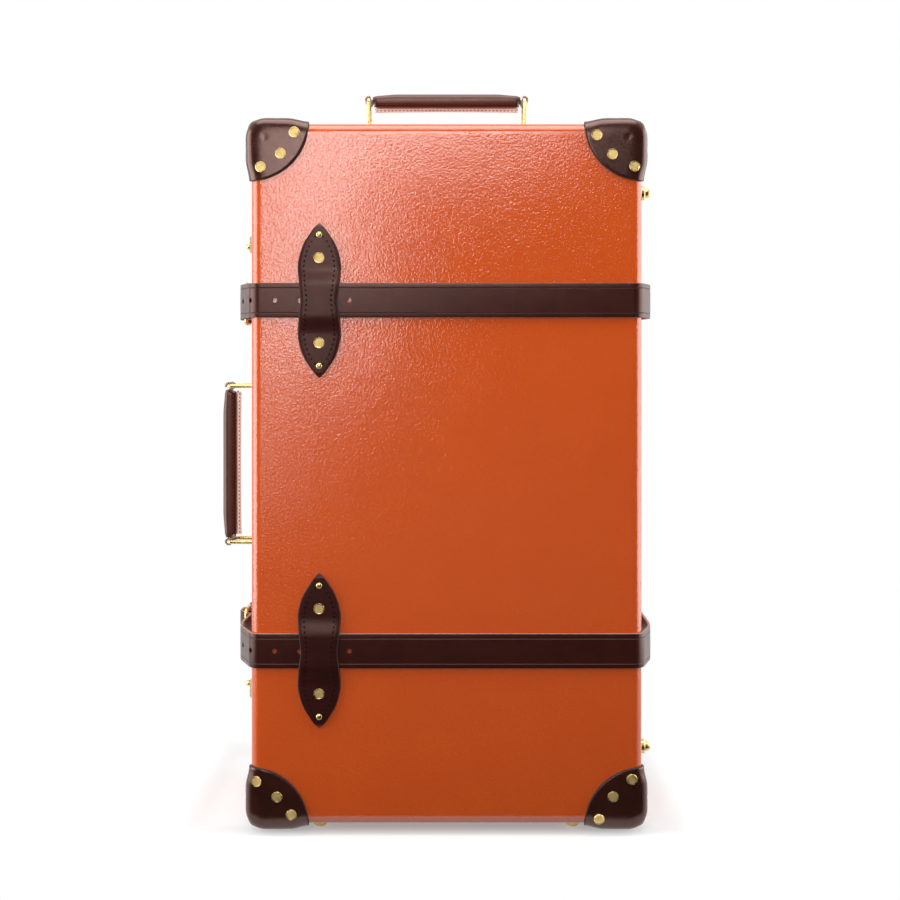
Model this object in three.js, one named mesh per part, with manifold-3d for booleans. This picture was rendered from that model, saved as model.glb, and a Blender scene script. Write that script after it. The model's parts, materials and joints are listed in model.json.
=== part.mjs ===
// A wheeled fibreboard suitcase, standing upright on its short side.
// The case is two trays, a shallow front lid and a deep rear base, hinged on the right long side.
// Millimetres, +Z up, the front of the lid faces -Y. While it is built, X is zero at the middle
// of the body, Y is zero at the middle of its depth and Z is zero on the floor.

import * as THREE from 'three';
import { mergeVertices } from 'three/addons/utils/BufferGeometryUtils.js';
import Module from 'manifold-3d';

const wasm = await Module();
wasm.setup();

// Body of the case
const BODY_WIDTH = 426;
const BODY_HEIGHT = 760;
const BODY_DEPTH = 228;
const LID_DEPTH = 98;
const WALL = 2.6;
const EDGE_RADIUS = 11;
const CORNER_RADIUS_EXTRA = 5;
const FOOT_HEIGHT = 15;

// Clearances
const FIT_GAP = 0.3;
const RUNNING_GAP = 0.5;
const OVERRUN = 2;

// Inner frame that the lid closes over
const VALANCE_THICKNESS = 2;
const VALANCE_DEPTH = 20;
const VALANCE_LIP = 7;

// Leather corners
const CORNER_LEATHER = 4;
const CORNER_REACH = 64;

// Straps that go round the case
const STRAP_WIDTH = 37.5;
const STRAP_THICKNESS = 3.4;
const UPPER_STRAP_OFFSET = 187;
const LOWER_STRAP_OFFSET = -193;
const STRAP_BEND_SHARE = 0.62;
const STRAP_EASE_SHARE = 0.21;
const RIGHT_BOW = 13;
const LEFT_BOW = 16;
const HOLE_DIAMETER = 5.6;
const HOLE_PITCH = 27;
const HOLE_COUNT = 4;
const HOLE_PAST_KEEPER = 32.8;

// Leather keepers that hold the straps on the front and the back
const KEEPER_SETBACK = 75;
const KEEPER_LENGTH = 167;
const KEEPER_WIDTH = 46.7;
const KEEPER_LEATHER = 3.2;
const KEEPER_RAMP = 7;
const KEEPER_STATION_SHARES = [0, 0.2, 0.46, 0.61, 0.69, 0.765, 0.84, 0.92, 1];
const KEEPER_WIDTH_SHARES = [0.86, 0.93, 1, 0.9, 0.8, 0.675, 0.5, 0.3, 0.04];

// Buckles on the left side
const BUCKLE_STANDOFF = 20.5;
const BUCKLE_WIRE = 4.4;
const BUCKLE_LENGTH = 28;
const BUCKLE_BAR_SETBACK = 34;
const BUCKLE_SIDE_ROOM = 2;
const BUCKLE_BEND = 5;
const STRAP_CLEARANCE = 0.8;
const FOLD_LENGTH = 6;
const TAIL_OVERLAP = 44;
const LOOP_SETBACK = 26;
const LOOP_WIDTH = 9;
const LOOP_LEATHER = 2.4;
const PRONG_WIDTH = 3.6;
const PRONG_THICKNESS = 3;
const PRONG_RISE = 4.8;
const PRONG_TIP = 4;
const PRONG_SLOT_LENGTH = 16;
const PRONG_HOLE_SHARE = 0.45;

// Carrying handles: one on the top, one on the left side
const HANDLE_SETBACK = 24;
const HANDLE_SPAN = 182;
const TOP_HANDLE_HEIGHT = 46;
const SIDE_HANDLE_HEIGHT = 42;
const HANDLE_PIVOT_HEIGHT = 6.4;
const HANDLE_WIRE = 4.5;
const HANDLE_LOOP_WIDTH = 34;
const HANDLE_BEND = 4.5;
const GRIP_END_RADIUS = 5;
const GRIP_ABOVE = 7;
const GRIP_BELOW = 14.5;
const GRIP_WIDTH = 28;
const GRIP_END_WIDTH = 26.4;
const GRIP_EASE = 8;
const GRIP_ROUNDING_SHARE = 0.8;
const HANDLE_PLATE_LENGTH = 26;
const HANDLE_PLATE_WIDTH = 27;
const HANDLE_PLATE_THICKNESS = 1.6;
const HANDLE_BARREL_WALL = 1.9;
const HANDLE_BARREL_LENGTH = 22;

// Domed feet
const FOOT_DIAMETER = 20;
const FOOT_FLANGE = 24;
const FOOT_FLANGE_THICKNESS = 1.8;
const FOOT_FLAT = 9;
const FOOT_SETBACK = 34;
const FOOT_PAST_CORNER = 9;

// Wheels at the back of the bottom
const WHEEL_DIAMETER = 48;
const WHEEL_WIDTH = 18;
const WHEEL_PAST_CORNER = 9.5;
const WHEEL_BACK_REACH = 6;
const WHEEL_CLEARANCE = 3;
const WHEEL_HUB_DIAMETER = 30;
const WHEEL_RECESS = 2.5;
const TYRE_ROUNDING = 4;
const AXLE_DIAMETER = 6;
const WELL_WALL = 3;

// Telescopic pull handle inside the back
const TUBE_SPREAD = 110;
const TUBE_SIZE = 14;
const TUBE_WALL = 1.4;
const TUBE_LENGTH = 560;
const TUBE_BACK_MARGIN = 3;
const ROD_STOP = 20;
const BRIDGE_HEIGHT = 26;
const COLLAR_THICKNESS = 2;
const COLLAR_MARGIN = 3;
const PULL_GRIP_LENGTH = 146;
const PULL_GRIP_HEIGHT = 18;
const PULL_GRIP_DEPTH = 18;
const PULL_GRIP_ROUNDING = 5;
const PULL_GRIP_LIFT = 3;
const BUTTON_LENGTH = 30;
const BUTTON_WIDTH = 9;
const BUTTON_PROUD = 2.4;
const BUTTON_DEPTH = 6;
const BUTTON_TRAVEL = 2.4;

// Hinges on the right side
const HINGE_OFFSET = 254;
const HINGE_LENGTH = 60;
const HINGE_LEAF = 26;
const HINGE_LEAF_THICKNESS = 1.5;
const HINGE_BARREL = 6.2;
const HINGE_PIN = 2.6;
const HINGE_AXIS_HEIGHT = 3.7;
const KNUCKLES = 5;

// Locks on the left side: a hasp on the lid and a lock body on the base
const LOCK_OFFSET = 253;
const LOCK_WIDTH = 32;
const LOCK_LENGTH = 34;
const LOCK_HEIGHT = 9;
const LOCK_SETBACK = 1.5;
const LOCK_ROUNDING = 2;
const HASP_REACH = 34;
const HASP_WIDTH = 18;
const HASP_THICKNESS = 2;
const HASP_AXIS_HEIGHT = 5;
const HASP_BARREL = 5.4;
const HASP_PIN = 2.4;
const HASP_PLATE_MARGIN = 6;
const HASP_OVERLAP = 14;
const HASP_TAB = 7;
const HASP_TAB_RISE = 5;
const HASP_KNOB_DIAMETER = 7;
const HASP_KNOB_NECK = 4.5;
const HASP_KNOB_RISE = 8.5;
const HASP_KNOB_REACH = 2;
const TONGUE_WIDTH = 8;
const TONGUE_LENGTH = 5;
const TONGUE_SETBACK = 4;
const TONGUE_DEPTH = 6;
const TONGUE_CLEARANCE = 1;
const SLIDE_LENGTH = 10;
const SLIDE_WIDTH = 11;
const SLIDE_HEIGHT = 3.2;
const SLIDE_SETBACK = 20.5;
const SLIDE_TRAVEL = 6;
const SLIDE_STEM = 4.4;
const SLIDE_STEM_DEPTH = 5;

// Facets
const CORNER_STEPS = 4;
const EDGE_STEPS = 3;
const WIRE_SIDES = 8;
const WIRE_STEPS = 3;
const ROUND_SIDES = 16;
const BALL_SIDES = 24;
const TURN_STEPS = 6;
const PULL_GRIP_STEPS = 2;
const KNOB_SIDES = 12;
const GRIP_STEPS = 3;

// Places that several pieces share
const HALF_WIDTH = BODY_WIDTH / 2;
const HALF_DEPTH = BODY_DEPTH / 2;
const CORNER_RADIUS = EDGE_RADIUS + CORNER_RADIUS_EXTRA;
const BODY_TOP = FOOT_HEIGHT + BODY_HEIGHT;
const BODY_MIDDLE = FOOT_HEIGHT + BODY_HEIGHT / 2;
const SPLIT_Y = LID_DEPTH - HALF_DEPTH;
const HANDLE_Y = SPLIT_Y + HANDLE_SETBACK;
const CORNER_BALL = CORNER_REACH + CORNER_LEATHER / 2;
const FOOT_INSET = CORNER_REACH + FOOT_PAST_CORNER;
const KEEPER_X = KEEPER_SETBACK - HALF_WIDTH;
const FIRST_HOLE_X = KEEPER_X + HOLE_PAST_KEEPER;
const BUCKLE_FAR_Y = SPLIT_Y + (BUCKLE_BAR_SETBACK - BUCKLE_LENGTH);
const BUCKLE_BAR_Y = SPLIT_Y + BUCKLE_BAR_SETBACK;
const BUCKLE_X = -HALF_WIDTH - BUCKLE_STANDOFF;
const TROLLEY_Y = HALF_DEPTH - EDGE_RADIUS - TUBE_BACK_MARGIN - TUBE_SIZE / 2;
const WHEEL_Y = HALF_DEPTH + WHEEL_BACK_REACH - WHEEL_DIAMETER / 2;
const WHEEL_Z = WHEEL_DIAMETER / 2;
const WELL_WIDTH = WHEEL_WIDTH + 2 * RUNNING_GAP + 2 * WELL_WALL;
const WHEEL_X = HALF_WIDTH - CORNER_BALL - WHEEL_PAST_CORNER - WELL_WIDTH / 2;

const finish = (color, roughness, metalness) => (
  new THREE.MeshStandardMaterial({ color, roughness, metalness })
);
const fibreboard = finish(0xc3501d, 0.38, 0);
const leather = finish(0x3d1d18, 0.5, 0);
const brass = finish(0xd9b65a, 0.28, 1);
const rubber = finish(0x1d1d1e, 0.8, 0);
const plastic = finish(0x232325, 0.5, 0);
const aluminium = finish(0xb4b6b8, 0.35, 1);

const suitcase = new THREE.Group();

// A solid from a closed geometry, and a geometry from a solid
function toSolid(geometry) {
  const bare = new THREE.BufferGeometry();
  bare.setAttribute('position', geometry.getAttribute('position'));
  bare.setIndex(geometry.getIndex());
  const merged = mergeVertices(bare);
  return new wasm.Manifold(new wasm.Mesh({
    numProp: 3,
    vertProperties: new Float32Array(merged.getAttribute('position').array),
    triVerts: new Uint32Array(merged.getIndex().array),
  }));
}

function toGeometry(solid) {
  const mesh = solid.getMesh();
  const geometry = new THREE.BufferGeometry();
  geometry.setAttribute('position', new THREE.BufferAttribute(mesh.vertProperties, 3));
  geometry.setIndex(new THREE.BufferAttribute(mesh.triVerts, 1));
  return geometry;
}

function addPiece(name, solid, material, parent = suitcase) {
  const mesh = new THREE.Mesh(toGeometry(solid), material);
  mesh.name = name;
  parent.add(mesh);
  return mesh;
}

// A box between low and high values on each axis
function boxBetween([x0, x1], [y0, y1], [z0, z1]) {
  const geometry = new THREE.BoxGeometry(x1 - x0, y1 - y0, z1 - z0);
  return toSolid(geometry.translate((x0 + x1) / 2, (y0 + y1) / 2, (z0 + z1) / 2));
}

const around = (middle, size) => [middle - size / 2, middle + size / 2];

// Round bars along each axis, between two ends
function barAlongX(diameter, [x0, x1], y, z, sides = ROUND_SIDES) {
  const geometry = new THREE.CylinderGeometry(diameter / 2, diameter / 2, x1 - x0, sides);
  return toSolid(geometry.rotateZ(Math.PI / 2).translate((x0 + x1) / 2, y, z));
}

function barAlongY(diameter, [y0, y1], x, z, sides = ROUND_SIDES) {
  const geometry = new THREE.CylinderGeometry(diameter / 2, diameter / 2, y1 - y0, sides);
  return toSolid(geometry.translate(x, (y0 + y1) / 2, z));
}

function barAlongZ(diameter, [z0, z1], x, y, sides = ROUND_SIDES) {
  const geometry = new THREE.CylinderGeometry(diameter / 2, diameter / 2, z1 - z0, sides);
  return toSolid(geometry.rotateX(Math.PI / 2).translate(x, y, (z0 + z1) / 2));
}

// A closed body through rings of equal count; the first and last rings are closed flat,
// or, where the body closes on itself, joined to each other.
function loft(rings, closed = false) {
  const count = rings[0].length;
  const positions = rings.flat().flatMap((point) => point.toArray());
  const index = [];
  const last = closed ? rings.length : rings.length - 1;
  for (let r = 0; r < last; r += 1) {
    const here = r * count;
    const next = ((r + 1) % rings.length) * count;
    for (let i = 0; i < count; i += 1) {
      const j = (i + 1) % count;
      index.push(here + i, here + j, next + j, here + i, next + j, next + i);
    }
  }
  if (!closed) {
    const end = (rings.length - 1) * count;
    for (let i = 1; i < count - 1; i += 1) {
      index.push(0, i + 1, i, end, end + i, end + i + 1);
    }
  }
  return toSolid(facingOut(positions, index));
}

function facingOut(positions, index) {
  const corner = (i) => new THREE.Vector3().fromArray(positions, index[i] * 3);
  let volume = 0;
  for (let i = 0; i < index.length; i += 3) {
    volume += corner(i).dot(corner(i + 1).cross(corner(i + 2)));
  }
  const geometry = new THREE.BufferGeometry();
  geometry.setAttribute('position', new THREE.Float32BufferAttribute(positions, 3));
  geometry.setIndex(volume > 0 ? index : index.reverse());
  return geometry;
}

// A rounded rectangle in a plane across Y
function roundedRing(halfWidth, halfHeight, radius, y, steps = CORNER_STEPS) {
  const ring = [];
  [[1, 1], [-1, 1], [-1, -1], [1, -1]].forEach(([sideX, sideZ], quarter) => {
    for (let i = 0; i <= steps; i += 1) {
      const angle = (quarter + i / steps) * Math.PI / 2;
      ring.push(new THREE.Vector3(
        sideX * (halfWidth - radius) + radius * Math.cos(angle),
        y,
        sideZ * (halfHeight - radius) + radius * Math.sin(angle),
      ));
    }
  });
  return ring;
}

// Rings that follow the rounded edge of the body from its flat face to its side, moved out by grow
function edgeRings(side, grow) {
  const radius = EDGE_RADIUS + grow;
  const rings = [];
  for (let i = 0; i <= EDGE_STEPS; i += 1) {
    const angle = (i / EDGE_STEPS) * Math.PI / 2;
    const inset = radius * (1 - Math.sin(angle));
    const face = HALF_DEPTH + grow - radius * (1 - Math.cos(angle));
    rings.push(roundedRing(
      HALF_WIDTH + grow - inset,
      BODY_HEIGHT / 2 + grow - inset,
      CORNER_RADIUS + grow - inset,
      side * face,
    ));
  }
  return rings;
}

function fullBody(grow) {
  const rings = [...edgeRings(-1, grow), ...edgeRings(1, grow).reverse()];
  return loft(rings).translate([0, 0, BODY_MIDDLE]);
}

// An open tray from the flat face on one side to its rim
function tray(side, rim) {
  const rimRing = (grow) => roundedRing(
    HALF_WIDTH + grow,
    BODY_HEIGHT / 2 + grow,
    CORNER_RADIUS + grow,
    rim,
  );
  const outer = [...edgeRings(side, 0), rimRing(0)];
  const inner = [...edgeRings(side, -WALL), rimRing(-WALL)];
  return loft([...outer, ...inner.reverse()]).translate([0, 0, BODY_MIDDLE]);
}

// Wheels and the wells they sit in
const wheelXs = [['left', -WHEEL_X], ['right', WHEEL_X]];
const WELL_RADIUS = WHEEL_DIAMETER / 2 + WHEEL_CLEARANCE;

function wellBlock(x, grow) {
  return boxBetween(
    around(x, WELL_WIDTH + 2 * grow),
    [WHEEL_Y - WELL_RADIUS - WELL_WALL - grow, HALF_DEPTH + OVERRUN],
    [FOOT_HEIGHT - OVERRUN, WHEEL_Z + WELL_RADIUS + WELL_WALL + grow],
  );
}

function wheelWell(x) {
  const room = around(x, WHEEL_WIDTH + 2 * RUNNING_GAP);
  const axle = barAlongX(AXLE_DIAMETER, around(x, WELL_WIDTH - WELL_WALL), WHEEL_Y, WHEEL_Z);
  return wellBlock(x, 0)
    .intersect(fullBody(0))
    .subtract(barAlongX(2 * WELL_RADIUS, room, WHEEL_Y, WHEEL_Z))
    .add(axle);
}

function wheel(x) {
  const bore = AXLE_DIAMETER / 2 + RUNNING_GAP;
  const hub = WHEEL_HUB_DIAMETER / 2;
  const outer = WHEEL_DIAMETER / 2;
  const half = WHEEL_WIDTH / 2;
  const side = [
    [bore, half],
    [bore + WHEEL_RECESS, half],
    [bore + 2 * WHEEL_RECESS, half - WHEEL_RECESS],
    [hub - WHEEL_RECESS, half - WHEEL_RECESS],
    [hub, half],
    [outer - TYRE_ROUNDING, half],
    [outer, half - TYRE_ROUNDING],
  ];
  const mirrored = side.map(([r, h]) => [r, -h]).reverse();
  const profile = [...mirrored, ...side].map(([r, h]) => new THREE.Vector2(r, h));
  const rings = profile.map(({ x: r, y: h }) => {
    const ring = [];
    for (let i = 0; i < ROUND_SIDES; i += 1) {
      const angle = (i / ROUND_SIDES) * 2 * Math.PI;
      ring.push(new THREE.Vector3(h, r * Math.cos(angle), r * Math.sin(angle)));
    }
    return ring;
  });
  return loft(rings, true).translate([x, WHEEL_Y, WHEEL_Z]);
}

// Tubes, bridges and collar of the pull handle
const tubeXs = [-TUBE_SPREAD / 2, TUBE_SPREAD / 2];
const COLLAR_TOP = BODY_TOP + FIT_GAP + COLLAR_THICKNESS;
const TUBE_BOTTOM = BODY_TOP - TUBE_LENGTH;

function tubeBar(x, size, zRange) {
  return boxBetween(around(x, size), around(TROLLEY_Y, size), zRange);
}

function trolleyHousing() {
  const across = [tubeXs[0] - TUBE_SIZE / 2, tubeXs[1] + TUBE_SIZE / 2];
  const toBack = [TROLLEY_Y, HALF_DEPTH - WALL - FIT_GAP];
  const lowBridge = [TUBE_BOTTOM, TUBE_BOTTOM + BRIDGE_HEIGHT];
  const highEnd = BODY_TOP - WALL - EDGE_RADIUS;
  const highBridge = [highEnd - BRIDGE_HEIGHT, highEnd];
  let housing = boxBetween(
    [across[0] - COLLAR_MARGIN, across[1] + COLLAR_MARGIN],
    around(TROLLEY_Y, TUBE_SIZE + 2 * COLLAR_MARGIN),
    [BODY_TOP + FIT_GAP, COLLAR_TOP],
  );
  for (const bridge of [lowBridge, highBridge]) {
    housing = housing.add(boxBetween(across, toBack, bridge));
  }
  for (const x of tubeXs) {
    housing = housing.add(tubeBar(x, TUBE_SIZE, [TUBE_BOTTOM, COLLAR_TOP]));
  }
  for (const x of tubeXs) {
    const bore = TUBE_SIZE - 2 * TUBE_WALL;
    housing = housing.subtract(tubeBar(x, bore, [TUBE_BOTTOM + TUBE_WALL, COLLAR_TOP + OVERRUN]));
  }
  return housing;
}

const PULL_GRIP_BOTTOM = COLLAR_TOP + PULL_GRIP_LIFT;
const PULL_GRIP_TOP = PULL_GRIP_BOTTOM + PULL_GRIP_HEIGHT;

function trolleyBow() {
  const rodSize = TUBE_SIZE - 2 * TUBE_WALL - 2 * RUNNING_GAP;
  const ends = around(0, PULL_GRIP_LENGTH);
  const section = (x, shrink) => roundedRing(
    PULL_GRIP_DEPTH / 2 - shrink,
    PULL_GRIP_HEIGHT / 2 - shrink,
    PULL_GRIP_ROUNDING - shrink / 2,
    x,
    PULL_GRIP_STEPS,
  ).map(({ x: across, y: along, z: up }) => new THREE.Vector3(along, across, up));
  const round = PULL_GRIP_ROUNDING / 2;
  let bow = loft([
    section(ends[0], round),
    section(ends[0] + round, 0),
    section(ends[1] - round, 0),
    section(ends[1], round),
  ]).translate([0, TROLLEY_Y, (PULL_GRIP_BOTTOM + PULL_GRIP_TOP) / 2]);
  const rod = [TUBE_BOTTOM + ROD_STOP, PULL_GRIP_BOTTOM + PULL_GRIP_ROUNDING];
  for (const x of tubeXs) {
    bow = bow.add(tubeBar(x, rodSize, rod));
  }
  const pocket = boxBetween(
    around(0, BUTTON_LENGTH + 2 * RUNNING_GAP),
    around(TROLLEY_Y, BUTTON_WIDTH + 2 * RUNNING_GAP),
    [PULL_GRIP_TOP - BUTTON_DEPTH - BUTTON_TRAVEL - RUNNING_GAP, PULL_GRIP_TOP + OVERRUN],
  );
  return bow.subtract(pocket);
}

function trolleyButton() {
  const z = [PULL_GRIP_TOP - BUTTON_DEPTH, PULL_GRIP_TOP + BUTTON_PROUD];
  const round = BUTTON_WIDTH / 4;
  const ring = (height, shrink) => roundedRing(
    BUTTON_LENGTH / 2 - shrink,
    BUTTON_WIDTH / 2 - shrink,
    round,
    height,
  ).map(({ x, y, z: across }) => new THREE.Vector3(x, across, y));
  const bevel = BUTTON_PROUD / 2;
  return loft([ring(z[0], 0), ring(z[1] - bevel, 0), ring(z[1], bevel)]).translate([0, TROLLEY_Y, 0]);
}

// The two trays and the inner frame
function baseShell() {
  let shell = tray(1, SPLIT_Y);
  for (const [, x] of wheelXs) {
    shell = shell.subtract(wellBlock(x, FIT_GAP));
  }
  const throughTop = [BODY_TOP - WALL - OVERRUN, BODY_TOP + OVERRUN];
  for (const x of tubeXs) {
    shell = shell.subtract(tubeBar(x, TUBE_SIZE + 2 * FIT_GAP, throughTop));
  }
  return shell;
}

function lidShell() {
  return tray(-1, SPLIT_Y - FIT_GAP);
}

function valance() {
  const ring = (inset, y) => roundedRing(
    HALF_WIDTH - inset,
    BODY_HEIGHT / 2 - inset,
    CORNER_RADIUS - inset,
    y,
  );
  const outside = WALL + RUNNING_GAP;
  const inside = outside + VALANCE_THICKNESS;
  const front = SPLIT_Y - VALANCE_LIP;
  const back = SPLIT_Y + VALANCE_DEPTH - VALANCE_LIP;
  return loft([
    ring(outside, front),
    ring(outside, back),
    ring(inside, back),
    ring(inside, front),
  ], true).translate([0, 0, BODY_MIDDLE]);
}

// Leather corners: a layer over the body, kept where a ball at each corner reaches
const cornerSkin = fullBody(FIT_GAP + CORNER_LEATHER).subtract(fullBody(FIT_GAP));

function leatherCorner(sideX, sideY, sideZ) {
  const ball = toSolid(new THREE.SphereGeometry(CORNER_BALL, BALL_SIDES, BALL_SIDES / 2));
  const place = [sideX * HALF_WIDTH, sideY * HALF_DEPTH, BODY_MIDDLE + (sideZ * BODY_HEIGHT) / 2];
  return cornerSkin.intersect(ball.translate(place));
}

// Shares of the keeper's half length, from tip to tip, with the share of its width at each
function keeperStations(ramp) {
  const outline = new THREE.SplineCurve(
    KEEPER_STATION_SHARES.map((share, i) => new THREE.Vector2(share, KEEPER_WIDTH_SHARES[i])),
  ).getPoints(KEEPER_STATION_SHARES.length + 2);
  const widthAt = (share) => {
    const i = outline.findIndex((point) => point.x > share);
    const [low, high] = [outline[i - 1], outline[i]];
    return low.y + ((high.y - low.y) * (share - low.x)) / (high.x - low.x);
  };
  const extra = ramp.map((height) => (2 * height) / KEEPER_LENGTH)
    .map((share) => [share, widthAt(share)]);
  const half = [...outline.map(({ x, y }) => [x, y]), ...extra]
    .sort((one, other) => one[0] - other[0]);
  return [...half.slice(1).map(([x, y]) => [-x, y]).reverse(), ...half];
}

// Strap keepers: pointed patches, wider at the rivets, that rise over the strap
function keeper(side, z) {
  const level = STRAP_WIDTH / 2 + STRAP_CLEARANCE;
  const rise = STRAP_THICKNESS + FIT_GAP;
  const stations = keeperStations([level, level + KEEPER_RAMP / 2, level + KEEPER_RAMP]);
  const rings = stations.map(([along, wide]) => {
    const up = (along * KEEPER_LENGTH) / 2;
    const past = THREE.MathUtils.clamp((Math.abs(up) - level) / KEEPER_RAMP, 0, 1);
    const lift = FIT_GAP + rise * (1 - THREE.MathUtils.smoothstep(past, 0, 1));
    const width = (wide * KEEPER_WIDTH) / 2;
    const bevel = Math.min(KEEPER_LEATHER / 3, width / 2);
    const section = [
      [-width, lift],
      [width, lift],
      [width, lift + KEEPER_LEATHER - bevel],
      [width - bevel, lift + KEEPER_LEATHER],
      [-width + bevel, lift + KEEPER_LEATHER],
      [-width, lift + KEEPER_LEATHER - bevel],
    ];
    return section.map(([x, out]) => (
      new THREE.Vector3(KEEPER_X + x, side * (HALF_DEPTH + out), z + up)
    ));
  });
  return loft(rings);
}

// A strap is a band of leather that stands across Z and follows a line in plan
function band(points, z) {
  const half = STRAP_THICKNESS / 2;
  const outline = [];
  const back = [];
  points.forEach((point, i) => {
    const before = points[Math.max(i - 1, 0)];
    const after = points[Math.min(i + 1, points.length - 1)];
    const along = after.clone().sub(before).normalize();
    const across = new THREE.Vector2(-along.y, along.x).multiplyScalar(half);
    outline.push(point.clone().add(across));
    back.unshift(point.clone().sub(across));
  });
  const shape = new THREE.Shape([...outline, ...back]);
  const geometry = new THREE.ExtrudeGeometry(shape, { depth: STRAP_WIDTH, bevelEnabled: false });
  return toSolid(geometry.translate(0, 0, z - STRAP_WIDTH / 2));
}

// How far out the middle of the leather lies where a strap stands off the side
const strapLine = (bow) => HALF_WIDTH + bow + STRAP_THICKNESS / 2;

// From the flat face round one corner and out to the line where the strap stands off the side
function cornerRun(sideX, sideY, bow) {
  const radius = EDGE_RADIUS + FIT_GAP + STRAP_THICKNESS / 2;
  const middle = new THREE.Vector2(HALF_WIDTH - EDGE_RADIUS, HALF_DEPTH - EDGE_RADIUS);
  const bend = new THREE.Vector2(strapLine(bow), HALF_DEPTH * STRAP_BEND_SHARE);
  const away = bend.clone().sub(middle);
  const lift = Math.atan2(away.y, away.x) + Math.acos(radius / away.length());
  const points = [];
  for (let i = 0; i <= TURN_STEPS; i += 1) {
    const angle = Math.PI / 2 + (lift - Math.PI / 2) * (i / TURN_STEPS);
    points.push(new THREE.Vector2(Math.cos(angle), Math.sin(angle)).multiplyScalar(radius).add(middle));
  }
  const leave = points[points.length - 1];
  const ease = HALF_DEPTH * STRAP_EASE_SHARE;
  const start = bend.clone().add(leave.clone().sub(bend).setLength(ease / 2));
  const end = bend.clone().sub(new THREE.Vector2(0, ease));
  points.push(...new THREE.QuadraticBezierCurve(start, bend, end).getPoints(TURN_STEPS));
  return points.map(({ x, y }) => new THREE.Vector2(sideX * x, sideY * y));
}

const BUCKLE_SLACK = BUCKLE_WIRE / 2 + STRAP_CLEARANCE + STRAP_THICKNESS / 2;
const BACK_BOW = BUCKLE_STANDOFF - BUCKLE_SLACK - STRAP_THICKNESS / 2;
const TAIL_RIDE = HALF_WIDTH + BUCKLE_STANDOFF + BUCKLE_SLACK + STRAP_THICKNESS + STRAP_CLEARANCE;
const TAIL_REST = strapLine(BACK_BOW) + STRAP_THICKNESS + STRAP_CLEARANCE;
const STRAP_RUN_END = HALF_DEPTH * (STRAP_BEND_SHARE - STRAP_EASE_SHARE);
const PRONG_HOLE_Y = BUCKLE_FAR_Y + BUCKLE_LENGTH * PRONG_HOLE_SHARE;

// The free end: under the far bar of the buckle, over the bar that carries it, along the strap
function tailRun() {
  const under = HALF_WIDTH + BUCKLE_STANDOFF - BUCKLE_SLACK;
  const stations = [
    [-STRAP_RUN_END, strapLine(LEFT_BOW)],
    [BUCKLE_FAR_Y, under],
    [BUCKLE_BAR_Y - BUCKLE_SLACK, TAIL_RIDE],
    [BUCKLE_BAR_Y + FOLD_LENGTH, TAIL_RIDE],
    [BUCKLE_BAR_Y + LOOP_SETBACK - LOOP_WIDTH / 2, TAIL_REST],
    [BUCKLE_BAR_Y + TAIL_OVERLAP, TAIL_REST],
  ];
  const points = [];
  stations.slice(1).forEach(([end, to], k) => {
    const [start, from] = stations[k];
    const steps = from === to ? 1 : TURN_STEPS;
    for (let i = 1; i <= steps; i += 1) {
      const share = i / steps;
      const out = THREE.MathUtils.lerp(from, to, THREE.MathUtils.smoothstep(share, 0, 1));
      points.push(new THREE.Vector2(-out, THREE.MathUtils.lerp(start, end, share)));
    }
  });
  return points;
}

function strapFront(z) {
  const points = [
    new THREE.Vector2(strapLine(RIGHT_BOW), SPLIT_Y - FIT_GAP),
    ...cornerRun(1, -1, RIGHT_BOW).reverse(),
    ...cornerRun(-1, -1, LEFT_BOW),
    ...tailRun(),
  ];
  let strap = band(points, z);
  for (let i = 0; i < HOLE_COUNT; i += 1) {
    const x = FIRST_HOLE_X - i * HOLE_PITCH;
    const through = [-HALF_DEPTH - STRAP_THICKNESS - OVERRUN, -HALF_DEPTH + OVERRUN];
    strap = strap.subtract(barAlongY(HOLE_DIAMETER, through, x, z, WIRE_SIDES));
  }
  const slot = boxBetween(
    [-TAIL_RIDE - OVERRUN - STRAP_THICKNESS, -HALF_WIDTH],
    around(PRONG_HOLE_Y, PRONG_SLOT_LENGTH),
    around(z, PRONG_WIDTH + 2 * STRAP_CLEARANCE),
  );
  return strap.subtract(slot);
}

function strapBack(z) {
  const fold = [];
  for (let i = 0; i <= TURN_STEPS; i += 1) {
    const angle = Math.PI * (i / TURN_STEPS);
    fold.push(new THREE.Vector2(
      BUCKLE_X + BUCKLE_SLACK * Math.cos(angle),
      BUCKLE_BAR_Y - BUCKLE_SLACK * Math.sin(angle),
    ));
  }
  const points = [
    new THREE.Vector2(strapLine(RIGHT_BOW), SPLIT_Y),
    ...cornerRun(1, 1, RIGHT_BOW).reverse(),
    ...cornerRun(-1, 1, BACK_BOW),
    ...fold,
    new THREE.Vector2(BUCKLE_X - BUCKLE_SLACK, BUCKLE_BAR_Y + FOLD_LENGTH),
  ];
  const slot = boxBetween(
    around(BUCKLE_X, 2 * BUCKLE_SLACK + 2 * STRAP_THICKNESS),
    around(BUCKLE_BAR_Y, 2 * BUCKLE_SLACK + 2 * STRAP_THICKNESS),
    around(z, PRONG_WIDTH + 2 * STRAP_CLEARANCE),
  );
  return band(points, z).subtract(slot).add(tailLoop(z));
}

// The small leather loop that holds the free end down
function tailLoop(z) {
  const inner = strapLine(BACK_BOW);
  const outer = TAIL_REST + STRAP_THICKNESS / 2 + STRAP_CLEARANCE;
  const y = around(BUCKLE_BAR_Y + LOOP_SETBACK, LOOP_WIDTH);
  const height = STRAP_WIDTH + 2 * STRAP_CLEARANCE;
  const hole = boxBetween(
    [-outer, -inner],
    [y[0] - OVERRUN, y[1] + OVERRUN],
    around(z, height),
  );
  return boxBetween(
    [-outer - LOOP_LEATHER, -HALF_WIDTH - BACK_BOW],
    y,
    around(z, height + 2 * LOOP_LEATHER),
  ).subtract(hole);
}

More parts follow.
